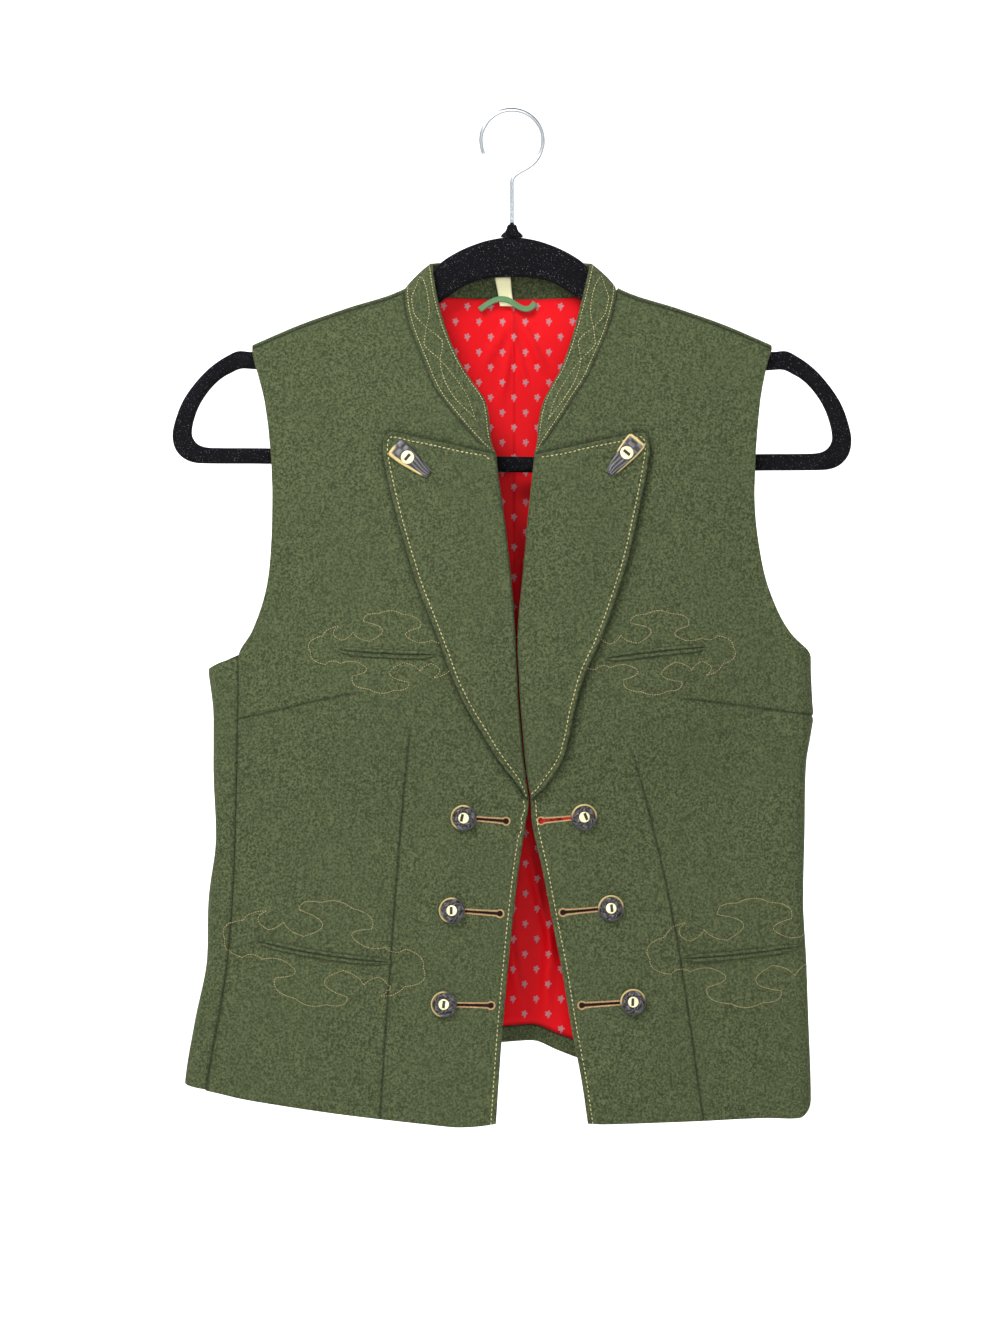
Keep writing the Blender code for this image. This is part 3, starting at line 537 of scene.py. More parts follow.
def wool_finish(name):
    """Milled wool: a mottled mix of greens under a felted nap that hides the weave."""
    made = Finish(
        name,
        roughness=0.95,
        specular_ior_level=0.12,
        sheen_weight=0.08,
        sheen_roughness=0.45,
        sheen_tint=(0.5, 0.58, 0.36, 1),
    )
    place = made.places()
    tufts = made.noise(place, 680.0, 4.0, 0.62, 0.4)
    fibres = made.noise(made.stretched(place, (1.0, 1.0, 0.45), (0, 0.5, 0)), 1500.0, 3.0, 0.6)
    clouds = made.noise(place, 26.0, 3.0, 0.5)
    flecks = made.noise(made.stretched(place, (1.0, 1.0, 0.6), (0, -0.4, 0)), 760.0, 2.0, 0.5)
    colour = made.mix(tufts.between(0.38, 0.66), WOOL_DARK, WOOL_LIGHT)
    colour = made.mix(0.35, colour, WOOL_GREEN)
    colour = made.mix(flecks.between(0.58, 0.72) * 0.45, colour, WOOL_YELLOW)
    colour = made.mix(fibres.between(0.5, 0.75) * 0.35, colour, WOOL_DARK)
    colour = made.mix(clouds.between(0.35, 0.7) * 0.25, colour, WOOL_GREEN)
    # Painted shade: the wool goes near black where the attribute marks seams, darts, pocket slits and the
    # band beside the lapels' edges.
    colour = made.mix(made.attribute("painted_shade") * 0.75, colour, (0.010, 0.014, 0.008))
    made.use("Base Color", colour)
    made.bump(tufts * 0.6 + fibres * 0.4, 0.7, 0.0007)
    return made


WAIST_SEAM_ROWS = 11
FACING_SHARE = 0.52
FRONTS = table(
    "edge_up right_edge left_edge right_side_up right_side left_side_up left_side",
    (
        (-664.5, -10.5, 49.4, -645.0, -201.8, -645.0, 206.5),
        (-636.0, -8.6, 45.2, -622.0, -198.0, -622.0, 206.0),
        (-600.0, -6.0, 38.4, -592.0, -192.3, -592.0, 205.0),
        (-564.0, -2.7, 32.5, -560.0, -187.5, -560.0, 203.5),
        (-531.0, 0.6, 26.0, -530.0, -184.8, -530.0, 202.0),
        (-497.5, 4.5, 19.5, -497.0, -183.0, -497.0, 202.0),
        (-469.5, 8.8, 13.2, -469.0, -182.0, -469.0, 202.5),
        (-453.0, 11.0, 11.9, -445.0, -181.4, -445.0, 204.0),
        (-414.0, 6.4, 7.3, -416.0, -180.7, -418.0, 207.0),
        (-381.0, 3.8, 4.7, -386.0, -180.2, -392.0, 208.0),
        (-355.0, 2.4, 3.4, -359.0, -179.8, -366.0, 207.0),
        (-326.0, 0.5, 4.8, -343.0, -171.0, -346.0, 185.0),
        (-290.0, -2.7, 8.4, -316.0, -161.8, -318.0, 170.0),
        (-257.0, -6.6, 11.3, -283.0, -158.1, -283.0, 161.8),
        (-229.0, -9.9, 14.3, -252.0, -157.5, -252.0, 159.4),
        (-221.0, -19.5, 19.8, -240.0, -158.0, -240.0, 159.8),
        (-212.6, -27.5, 25.4, -228.0, -158.5, -228.0, 160.2),
        (-200.0, -38.0, 33.8, -217.0, -159.6, -217.0, 161.0),
        (-188.0, -47.2, 41.2, -207.0, -160.6, -207.0, 161.8),
        (-177.0, -53.0, 48.3, -198.0, -161.9, -198.0, 162.7),
        (-165.0, -57.8, 53.8, -190.0, -163.2, -190.0, 163.6),
        (-143.6, -66.4, 63.0, -175.0, -167.1, -175.0, 166.4),
        (-126.7, -70.4, 67.8, -164.3, -170.2, -164.3, 169.0),
        (-122.9, -70.5, 68.2, -160.5, -171.0, -160.5, 170.5),
        (-119.3, -70.6, 68.6, -156.9, -171.6, -156.9, 171.6),
    ),
)
ARMHOLE = table(
    "right_up right left_up left",
    (
        (-358, -206, -361, 196),
        (-356, -190, -356, 189),
        (-352, -178, -350, 183),
        (-340, -168, -338, 175),
        (-318, -161, -318, 166),
        (-290, -157, -290, 159.5),
        (-255, -155, -255, 156),
        (-225, -155, -225, 155.5),
        (-200, -157, -200, 157),
        (-180, -161.5, -180, 161.5),
        (-166, -167.5, -166, 167.5),
    ),
)
SHOULDER_TURNS = (0, 0.55, 1.1, 1.6, 2.1, 2.56)
TIP = 171.6
NECK_CORNER = 68.4
DIP = {"out": 7.5, "wide": 16.0, "wide_behind": 38.0, "up": -356.0, "tall": 40.0}
# Places along the back's width: share at the hem and place at the shoulders
BACK_COLUMNS = table(
    "hem top",
    (
        (0.0, -171.6),
        (0.085, -151.5),
        (0.215, -113.0),
        (0.345, -70.6),
        (0.38, -68.0),
        (0.42, -57.0),
        (0.47, -29.0),
        (0.525, 0.0),
        (0.575, 28.0),
        (0.625, 55.5),
        (0.665, 66.0),
        (0.70, 68.6),
        (0.82, 113.0),
        (0.955, 157.5),
        (1.0, 171.6),
    ),
)
BACK_HEM = table(
    "across height",
    (
        (-245, -645),
        (-222, -641),
        (-198, -638),
        (-150, -632),
        (-60, -622),
        (0, -616),
        (14, -615),
        (30, -621),
        (46, -627),
        (100, -634),
        (170, -640),
        (202, -645),
    ),
)
NECKLINE = table("reach up", ((0, -122), (29, -121.6), (57, -119.6), (68, -116.6)))
HEM_LIFT_ENDS = -520.0
NECK_LIFT = (-350.0, -166.0)
# The back's width along the cloth, and how far apart its mesh has rows and columns
BACK_WIDE = 430.0
BACK_STEPS = (3.6, 3.4)


def round_the_fold(place, height):
    """The back's measure of a place that is given from the middle of the front."""
    middle, flat, radius = edges(height)
    way = np.sign(place - middle)
    return middle + way * (2 * flat + math.pi * radius - np.abs(place - middle))


def back_side(which, inward, t):
    """Place and height of one side edge of the back at row t, from hem to shoulder seam."""
    seam_up = FRONTS[which + "_side_up"][:WAIST_SEAM_ROWS]
    levels = np.insert(seam_up, 1, seam_up[0] + (seam_up[1] - seam_up[0]) * FACING_SHARE)
    over = [float(shoulder_top(TIP)) - ROUND + ROUND * turn for turn in SHOULDER_TURNS]
    up = by_row(np.array([*levels, *ARMHOLE[which + "_up"], *over]), t)
    seam_place = smooth(FRONTS[which + "_side_up"], FRONTS[which + "_side"], levels)
    seam_across = round_the_fold(seam_place, levels) - inward * SEAM_LAP
    across = by_row(np.array([*seam_across, *ARMHOLE[which], *([-inward * TIP] * len(over))]), t)
    seam_place = smooth(FRONTS[which + "_side_up"], FRONTS[which + "_side"], up)
    on_seam = round_the_fold(seam_place, up) - inward * SEAM_LAP
    return np.where(t < WAIST_SEAM_ROWS, on_seam, across), up


BACK_ROWS = WAIST_SEAM_ROWS + 1 + len(ARMHOLE["right"]) + len(SHOULDER_TURNS)


def back_places(rows, columns):
    """Places across and up the cloth for rows 0 to the shoulder seam and columns 0 to 1."""
    t = rows[:, None]
    right, right_up = back_side("right", 1, t)
    left, left_up = back_side("left", -1, t)
    level = (right_up + left_up) / 2
    rise = ease((level - NECK_LIFT[0]) / (NECK_LIFT[1] - NECK_LIFT[0]))
    top = smooth(BACK_COLUMNS["hem"], BACK_COLUMNS["top"], columns)
    share = (1 - rise) * columns + rise * (top + TIP) / (2 * TIP)
    across = right + (left - right) * share
    up = right_up + (left_up - right_up) * share
    seam_up = shoulder_top(top) - ROUND + ROUND * SHOULDER_TURNS[-1]
    neck_up = smooth(NECKLINE["reach"], NECKLINE["up"], np.abs(top))
    corner = ease((np.abs(top) - NECK_CORNER + 0.5) / 1.2)
    top_up = neck_up + (seam_up - neck_up) * corner
    up = up + rise * (top_up - level[-1])
    (right_foot, right_foot_up), (left_foot, left_foot_up) = (
        back_side(which, inward, np.zeros(1)) for which, inward in (("right", 1), ("left", -1))
    )
    hem_up = right_foot_up + (left_foot_up - right_foot_up) * columns
    hem = smooth(BACK_HEM["across"], BACK_HEM["height"], right_foot + (left_foot - right_foot) * columns)
    fade = ease((HEM_LIFT_ENDS - level) / (HEM_LIFT_ENDS - float(FRONTS["right_side_up"][0])))
    up = up + fade * (hem - hem_up)
    middle, flat, radius = edges(up)
    from_fold = np.abs(across - middle) - flat - math.pi / 2 * radius
    wide = np.where(from_fold > 0, DIP["wide"], DIP["wide_behind"])
    dip = DIP["out"] * np.exp(-((from_fold / wide) ** 2) - ((up - DIP["up"]) / DIP["tall"]) ** 2)
    return across, up - np.where(across < 0, dip, 0)


def ridges(rows, across, up):
    """Soft folds: each row is a line from one place to another, its half width and its height."""
    total = np.zeros(np.broadcast(across, up).shape)
    for x0, z0, x1, z1, wide, high in rows:
        run = np.array([x1 - x0, z1 - z0])
        length = np.hypot(*run)
        run = run / length
        along = (across - x0) * run[0] + (up - z0) * run[1]
        off = (across - x0) * -run[1] + (up - z0) * run[0]
        fade = ease(along / (0.35 * length)) * ease((length - along) / (0.35 * length))
        total = total + high * np.exp(-((off / wide) ** 2)) * fade
    return total


def even_rows(count_rows, mean_up, step, close=(True, True)):
    """Row numbers at even distances up the cloth."""
    t = np.linspace(0, count_rows, 600)
    level = by_row(mean_up, t)
    length = level[-1] - level[0]
    return np.interp(level[0] + stations(length, step, close) * length, level, t)


wool = wool_finish("wool_loden")

back_levels = back_side("right", 1, np.arange(BACK_ROWS, dtype=float))[1]
back_rows = even_rows(BACK_ROWS - 1, back_levels, BACK_STEPS[0])
back_columns = stations(BACK_WIDE, BACK_STEPS[1])
across, up = back_places(back_rows, back_columns)
BACK_FOLDS = (
    (-150, -330, -60, -430, 22, 1.6),
    (150, -335, 70, -440, 20, 1.4),
    (-120, -200, -90, -330, 26, 1.2),
    (115, -200, 95, -320, 24, 1.3),
    (-40, -150, 45, -152, 12, -0.9),
    (-60, -460, 60, -470, 18, -1.2),
    (-130, -480, -80, -620, 18, 1.5),
    (140, -470, 120, -630, 20, 1.6),
    (10, -250, 4, -400, 30, -1.0),
)
outer = cloth(BACK, across, up)
in_seam = ease((WAIST_SEAM_ROWS + 0.4 - back_rows) / 0.8)[:, None]
drop, sunk, channel = edge_form(outer, (in_seam, in_seam, 0.0, 1.0), WOOL)
relief = ridges(BACK_FOLDS, across, up)
# Painted shade along the side seams and the shoulder seams.
back = make_shell(
    "back_cloth",
    cloth(BACK, across, up, relief - drop - 0.8 * sunk),
    cloth(BACK, across, up, relief * 0.5 - WOOL + drop),
    wool,
    painted_shade=sunk,
)
settle(back, "wool", "back")

# The back's lining. Red cotton printed with small grey flowers, laid inside the back with a pleat
# at the middle of the neck, so that it gives when the wearer moves. It stops above the hem.
LINING_RED = (0.61, 0.0010, 0.005)
FLOWER_GREY = (0.34, 0.20, 0.22)
LINING_INSET = 0.042
PLEAT_SHARES = (0.395, 0.615)
FLOWER_ACROSS = 15.7
FLOWER_UP = 20.0
FLOWER_START = (1.4, -6.5)


def lining_finish():
    """Printed cotton: little flowers with five petals in staggered rows."""
    made = Finish("lining_print", roughness=0.6, specular_ior_level=0.12)
    cell = made.node("ShaderNodeUVMap", {"uv_map": "cloth"})["UV"]
    parts = made.node("ShaderNodeSeparateXYZ", {}, {"Vector": cell})
    columns = (parts["X"] - FLOWER_START[0] * MM) / (FLOWER_ACROSS * MM)
    ranks = (parts["Y"] - FLOWER_START[1] * MM) / (FLOWER_UP * MM)
    mask = None
    for shift in (0.0, 0.5):
        u = columns.maths("FRACT", columns + shift) - 0.5
        v = ranks.maths("FRACT", ranks + shift) - 0.5
        u = u * FLOWER_ACROSS
        v = v * FLOWER_UP
        far = (u * u + v * v) ** 0.5
        turn = u.maths("ARCTAN2", v, u)
        petals = (turn * 5.0).maths("COSINE", turn * 5.0) * 0.45 + 1.75
        bloom = (petals - far).between(-0.25, 0.25)
        stem = (0.55 - u.maths("ABSOLUTE", u)).between(-0.2, 0.2)
        stem = stem * (v + 3.4).between(0.0, 0.6) * (0.2 - v).between(0.0, 0.6)
        bloom = bloom.maths("MAXIMUM", bloom, stem * 0.7)
        mask = bloom if mask is None else mask.maths("MAXIMUM", mask, bloom)
    speck = made.noise(made.places(), 900.0, 2.0)
    threads = made.noise(made.stretched(made.places(), (1.0, 1.0, 0.2)), 2600.0, 2.0)
    # Painted shade: dark red where the attribute marks sewn edges, the pleat and the shaded side of the
    # folds.
    colour = made.mix(made.attribute("painted_shade") * 0.8, LINING_RED, (0.16, 0.0, 0.004))
    colour = made.mix(mask * (0.65 + speck * 0.4), colour, FLOWER_GREY)
    made.use("Base Color", colour)
    made.bump(threads, 0.2, 0.0002)
    return made


lining_print = lining_finish()
LINING_STEPS = (4.0, 3.2)
lining_rows = even_rows(BACK_ROWS - 1, back_levels, LINING_STEPS[0])
lining_rows = np.concatenate([[1.0], lining_rows[lining_rows > 1.04]])
even_columns = stations(BACK_WIDE, LINING_STEPS[1])
outside_pleat = (even_columns < PLEAT_SHARES[0]) | (even_columns > PLEAT_SHARES[1])
lining_columns = np.sort(np.concatenate([even_columns[outside_pleat], np.linspace(*PLEAT_SHARES, 92)]))
lining_columns = LINING_INSET + lining_columns * (1 - 2 * LINING_INSET)
across, up = back_places(lining_rows, lining_columns)
LINING_FOLDS = (
    (7, -124, -24, -172, 2.4, 1.1),
    (4, -124, -10, -200, 2.2, 1.0),
    (0, -124, 26, -176, 2.6, 1.2),
    (-4, -124, 12, -190, 2.0, 0.8),
    (-44, -150, -26, -230, 5.0, 1.0),
    (12, -250, 2, -420, 3.5, 1.1),
    (-16, -470, 8, -600, 3.2, 2.2),
    (-30, -500, -4, -612, 3.0, 1.8),
    (30, -480, 22, -612, 3.6, 2.0),
    (6, -470, 36, -590, 2.6, 1.6),
    (-6, -440, -22, -560, 3.0, 1.4),
    (-60, -300, -30, -420, 9.0, 1.4),
    (60, -280, 40, -400, 9.0, 1.2),
)
# The shaded side of those folds, in the same columns
LINING_FOLD_SHADES = (
    (10, -124, -20, -173, 1.5, 0.5),
    (7, -124, -6, -201, 1.3, 0.45),
    (3, -124, 29, -177, 1.5, 0.5),
    (-1, -124, 15, -191, 1.2, 0.4),
    (-40, -150, -22, -231, 3.0, 0.3),
    (15, -250, 5, -420, 2.0, 0.5),
    (-12, -470, 12, -601, 2.2, 0.75),
    (-27, -500, -1, -613, 1.8, 0.6),
    (34, -480, 26, -613, 2.2, 0.6),
    (9, -470, 39, -591, 1.8, 0.6),
    (-3, -440, -19, -561, 1.8, 0.5),
)
# Where the loose lining bellies forward: middle, half sizes and how far
LINING_BELLIES = ((0, -335, 42, 70, 7.0), (8, -560, 46, 60, 5.0))
PLEAT_AT = 1.6
pleat = ease((across - PLEAT_AT + 0.8) / 1.6) * ease((-128 - up) / 20) * ease((up + 420) / 240)
relief = ridges(LINING_FOLDS, across, up) + 1.0 * pleat
for aside, level, wide, tall, out in LINING_BELLIES:
    relief = relief + out * np.exp(-(((across - aside) / wide) ** 2) - ((up - level) / tall) ** 2)
# Painted shade: a dark line down the pleat.
pleat_shade = np.exp(-(((across - PLEAT_AT) / 0.8) ** 2)) * ease((up + 400) / 200)
lining_out = -WOOL - LAYER
outer = cloth(BACK, across, up, lining_out)
drop, sunk, channel = edge_form(outer, (0.4, 0.4, 0.6, 1.0), LINING)
# Painted shade along the sewn edges, down the pleat and on the shaded side of the folds.
lining = make_shell(
    "back_lining_cloth",
    cloth(BACK, across, up, lining_out - drop),
    cloth(BACK, across, up, lining_out - LINING + drop - relief + 0.4),
    lining_print,
    painted_shade=np.clip(np.maximum(sunk, pleat_shade) + ridges(LINING_FOLD_SHADES, across, up), 0, 1),
    places=np.stack([across, up], -1),
)
settle(lining, "lining", "back_lining")

# The hem facing. The back's wool turned up inside above the hem and sewn down.
FACING_STEP = 4.0
facing_rows = np.linspace(0, 1, 9)
across, up = back_places(facing_rows, stations(BACK_WIDE, FACING_STEP))
up[0] += 0.4
outer = cloth(BACK, across, up, lining_out)
drop, sunk, channel = edge_form(outer, (0.0, 0.0, 0.0, 1.0), LINING)
# Painted shade along the top edge, where it is sewn down.
facing = make_shell(
    "back_hem_facing_cloth",
    cloth(BACK, across, up, lining_out - drop),
    cloth(BACK, across, up, lining_out - LINING + drop),
    wool,
    painted_shade=sunk * 0.8,
)
settle(facing, "wool", "back_hem_facing")

# The fronts. Each is one cut of the same wool with a bust dart from the side seam and a long
# waist dart down to the hem. Edge and hem are turned in and topstitched 3 mm from the fold.
HEM = table(
    "share right_front left_front",
    (
        (0, 0, 0),
        (0.05, 2.5, 1.5),
        (0.16, 5.2, 3.5),
        (0.45, 5.2, 8.5),
        (0.75, 4.0, 13.0),
        (0.89, 2.5, 16.0),
        (0.945, 1.2, 11.0),
        (1, 0, 0),
    ),
)
# Usual widths on both sides of the waist dart, heights below and above the bust dart, and how far
# apart the mesh has columns and rows
DART_SIDES = (85.0, 105.0)
BUST_SIDES = (270.0, 250.0)
FRONT_STEPS = (2.6, 3.2)
HEM_FADES = np.array([1.0, 0.55, 0.2, 0.0])
SHOULDER_RISES = np.array([0.0, 0.4, 0.8, 1.0, 1.0])
DARTS = {
    "right": {
        "waist": table("up across", ((-668, -86.8), (-544.5, -78.4), (-453.0, -71.1), (-395.6, -65.1))),
        "bust": table("across up", ((-184.0, -401.3), (-180.0, -400.5), (-89.3, -381.3), (0.0, -376.0))),
        "bust_tip": -89.3,
    },
    "left": {
        "waist": table("up across", ((-668, 126.3), (-538.0, 107.0), (-466.0, 91.1), (-410.6, 75.3))),
        "bust": table("across up", ((0.0, -380.0), (99.5, -385.9), (197.8, -398.0), (212.0, -400.0))),
        "bust_tip": 99.5,
    },
}
# Above the break the front's edge lies inside the lapel's roll
LAST_ROW = len(FRONTS["edge_up"]) - 1
TUCK_ROWS = (7.0, 7.6, 13.6, 14.2)
TUCKED = 3.0


def front_at(which, t, share):
    """Place across and up the cloth at row t and share of the width."""
    inward = -1 if which == "right" else 1
    outer_up = by_row(FRONTS[which + "_side_up"], t)
    outer = smooth(FRONTS[which + "_side_up"], FRONTS[which + "_side"], outer_up)
    edge_up = by_row(FRONTS["edge_up"], t)
    edge = by_row(FRONTS[which + "_edge"], t)
    tuck = ease((t - TUCK_ROWS[0]) / (TUCK_ROWS[1] - TUCK_ROWS[0])) * ease(
        (TUCK_ROWS[3] - t) / (TUCK_ROWS[3] - TUCK_ROWS[2])
    )
    edge = edge + inward * TUCKED * tuck
    place = edge + (outer - edge) * share
    up = edge_up + (outer_up - edge_up) * share
    drop = smooth(HEM["share"], HEM[which + "_front"], share)
    up = up - drop * np.interp(t, np.arange(4), HEM_FADES)
    seam_below_top = FRONTS["edge_up"][-1] - shoulder_top(FRONTS["right_edge"][-1])
    line = FRONTS["edge_up"][-1] + (FRONTS[which + "_side_up"][-1] - FRONTS["edge_up"][-1]) * share
    neck_end, shoulder_end = FRONTS[which + "_edge"][-1], FRONTS[which + "_side"][-1]
    top_place = neck_end + (shoulder_end - neck_end) * share
    bow = shoulder_top(top_place) + seam_below_top - line
    rise = np.interp(t, LAST_ROW - np.arange(4, -1, -1), SHOULDER_RISES)
    return place, up + (bow + SEAM_LAP) * rise


def front_places(which):
    """A grid whose middle column lies on the waist dart and whose middle row on the bust dart."""
    t_all = np.linspace(0, LAST_ROW, 500)
    level = by_row((FRONTS["edge_up"] + FRONTS[which + "_side_up"]) / 2, t_all)
    waist = DARTS[which]["waist"]
    below = level <= waist["up"][-1]
    edge = by_row(FRONTS[which + "_edge"], t_all)
    outer = by_row(FRONTS[which + "_side"], t_all)
    dart_share = (smooth(waist["up"], waist["across"], level) - edge) / (outer - edge)
    dart_share = np.where(below, dart_share, dart_share[below][-1])
    first, second = (stations(width, FRONT_STEPS[0]) for width in DART_SIDES)
    columns = np.concatenate([first, 1 + second[1:]])

    def share_at(t, column):
        dart = np.interp(t, t_all, dart_share)
        return np.where(column <= 1, column * dart, dart + (column - 1) * (1 - dart))

    place, up = front_at(which, t_all[:, None], share_at(t_all[:, None], columns))
    bust = DARTS[which]["bust"]
    above = up > smooth(bust["across"], bust["up"], place)
    t_bust = t_all[np.argmax(above, axis=0)]
    level_bust = np.interp(t_bust, t_all, level)
    lower, upper = (stations(height, FRONT_STEPS[1])[:, None] for height in BUST_SIDES)
    upper = upper[1:]
    heights = np.concatenate(
        [
            level[0] + lower * (level_bust - level[0]),
            level_bust + upper * (level[-1] - level_bust),
        ]
    )
    t = np.interp(heights, level, t_all)
    place, up = front_at(which, t, share_at(t, columns))
    return place, up, t


FRONT_FOLDS = {
    "right": (
        (-150, -230, -120, -340, 20, 1.3),
        (-110, -150, -125, -300, 24, 1.2),
        (-172, -420, -150, -560, 12, 1.2),
        (-100, -440, -150, -470, 14, -1.0),
        (-30, -430, -45, -520, 16, 1.0),
        (-120, -560, -130, -650, 16, 1.4),
        (-40, -580, -38, -660, 18, 1.2),
        (-66, -520, -70, -640, 12, -1.0),
    ),
    "left": (
        (150, -230, 118, -340, 20, 1.3),
        (108, -150, 122, -290, 24, 1.2),
        (178, -420, 160, -560, 13, 1.3),
        (110, -440, 160, -465, 14, -1.0),
        (34, -440, 60, -520, 16, 1.0),
        (150, -560, 160, -650, 16, 1.5),
        (90, -580, 96, -660, 14, 1.0),
        (120, -520, 132, -640, 12, -1.0),
    ),
}


def dart_form(which, across, up):
    """The sunk line of each dart's seam and the slight fullness beside it."""
    darts = DARTS[which]
    waist = darts["waist"]
    off = across - smooth(waist["up"], waist["across"], up)
    strength = ease((waist["up"][-1] - up) / 26)
    line = strength * np.exp(-((off / 0.8) ** 2))
    full = strength * np.exp(-(((np.abs(off) - 3.4) / 2.6) ** 2))
    off = up - smooth(darts["bust"]["across"], darts["bust"]["up"], across)
    strength = ease((np.abs(across) - abs(darts["bust_tip"])) / 22)
    line = np.maximum(line, strength * np.exp(-((off / 0.8) ** 2)))
    full = full + strength * np.exp(-(((np.abs(off) - 3.4) / 2.6) ** 2))
    return line, full


fronts = {}
for which in ("right", "left"):
    across, up, t = front_places(which)
    outer = cloth(FRONT, across, up)
    in_seam = ease((WAIST_SEAM_ROWS - 1.2 - t) / 0.5)
    at_collar = ease((t - 14.6) / 0.5)
    drop, sunk, channel = edge_form(outer, (at_collar, in_seam, 0.0, 1.0), WOOL, stitched=(0,))
    channel = channel * ease((7.2 - t) / 0.4)
    line, full = dart_form(which, across, up)
    relief = ridges(FRONT_FOLDS[which], across, up) + 0.35 * full - 0.6 * line - channel
    # Painted shade in the seams and down the darts' lines.
    fronts[which] = make_shell(
        f"front_{which}_cloth",
        cloth(FRONT, across, up, relief - drop - 0.8 * sunk),
        cloth(FRONT, across, up, relief * 0.4 - WOOL + drop),
        wool,
        painted_shade=np.maximum(sunk, line * 0.9),
    )
    settle(fronts[which], "wool", f"front_{which}")

# The collar. A stand of doubled wool round the neck, sewn to the neckline, with two rows of
# edge stitching and a plait of stitches between them.
COLLAR = table(
    "way seam_up right_seam left_seam free_z right_free left_free free_y",
    (
        (-1, -227.5, -12.2, 16.4, -228.0, -9.9, 14.0, -24.5),
        (-1, -221.0, -19.5, 19.8, -220.6, -12.6, 15.8, -21.5),
        (-1, -212.6, -27.5, 25.4, -212.5, -13.9, 16.3, -20.5),
        (-1, -200.0, -38.0, 33.8, -201.0, -15.0, 17.8, -19.0),
        (-1, -188.0, -47.2, 41.2, -191.5, -17.4, 20.6, -17.8),
        (-1, -177.0, -53.0, 48.3, -181.0, -24.5, 26.0, -16.5),
        (-1, -165.0, -57.8, 53.8, -170.0, -31.8, 32.0, -15.0),
        (-1, -143.6, -66.4, 63.0, -147.0, -42.3, 40.1, -11.8),
        (-1, -126.7, -70.4, 67.8, -122.0, -49.3, 46.6, -8.8),
        (-1, -119.3, -70.6, 68.6, -104.0, -52.4, 51.0, -5.8),
        (1, -112.4, -70.6, 68.6, -99.6, -53.2, 52.0, 0.0),
        (1, -115.4, -69.4, 67.6, -98.8, -52.0, 50.6, 4.8),
        (1, -117.4, -64.0, 62.5, -98.4, -48.0, 46.5, 7.6),
        (1, -119.9, -50.0, 49.0, -98.0, -38.0, 37.5, 11.0),
        (1, -121.6, -26.0, 26.0, -97.5, -20.0, 20.0, 14.8),
        (1, -122.0, 0.0, 0.0, -97.2, 0.0, 0.0, 16.0),
    ),
)
COLLAR_WALL = 2.4
COLLAR_TALL = 24.0
COLLAR_BOW = 0.9
COLLAR_STEPS = (1.8, 1.3)
# How far the collar reaches below its seam line, as a share of its height
UNDER_SEAM = 0.045


def collar_lines(which):
    """The collar's seam line and free edge from its front end to the middle of the back."""
    place, seam_up = COLLAR[which + "_seam"], COLLAR["seam_up"]
    seam = np.empty((len(place), 3))
    for side in (FRONT, BACK):
        rows = COLLAR["way"] == side
        seam[rows] = face(side, place[rows], seam_up[rows])
    free = np.stack([COLLAR[which + "_free"], COLLAR["free_y"], COLLAR["free_z"]], -1)
    return seam, free


def grid_normals(grid):
    """Unit normals of a grid of points, by differences between its neighbours."""
    along = np.gradient(grid, axis=0)
    over = np.gradient(grid, axis=1)
    normal = np.cross(along, over)
    return normal / np.linalg.norm(normal, axis=-1, keepdims=True)


def read_line(run, line, at):
    """Points of a line at the distances `at` along it."""
    return np.stack([smooth(run, line[:, n].copy(), at) for n in range(line.shape[1])], -1)


right_lines, left_lines = collar_lines("right"), collar_lines("left")
seam_line, free_line = (np.concatenate([a, b[-2::-1]]) for a, b in zip(right_lines, left_lines))
run = np.linalg.norm(np.diff((seam_line + free_line) / 2, axis=0), axis=-1)
run = np.concatenate([[0], np.cumsum(run)])
along = stations(run[-1], COLLAR_STEPS[0]) * run[-1]
seam_fine, free_fine = read_line(run, seam_line, along), read_line(run, free_line, along)
share = stations(COLLAR_TALL, COLLAR_STEPS[1])[:, None] * (1 + UNDER_SEAM) - UNDER_SEAM
outer = seam_fine[:, None] + (free_fine - seam_fine)[:, None] * share
normal = grid_normals(outer)
normal *= np.sign(np.sum(normal[0, 0] * (0, -1, 0)))
drop, sunk, channel = edge_form(outer, (1.0, 0.0, 0.0, 0.0), COLLAR_WALL)
bow = (COLLAR_BOW * np.sin(math.pi * np.clip(share[:, 0], 0, 1)))[None]
# Painted shade along the collar's seam.
collar = make_shell(
    "collar_cloth",
    outer + normal * (bow - drop - 0.5 * sunk)[..., None],
    outer + normal * (0.4 * bow - COLLAR_WALL + drop)[..., None],
    wool,
    painted_shade=sunk,
)
settle(collar, "wool", "collar")

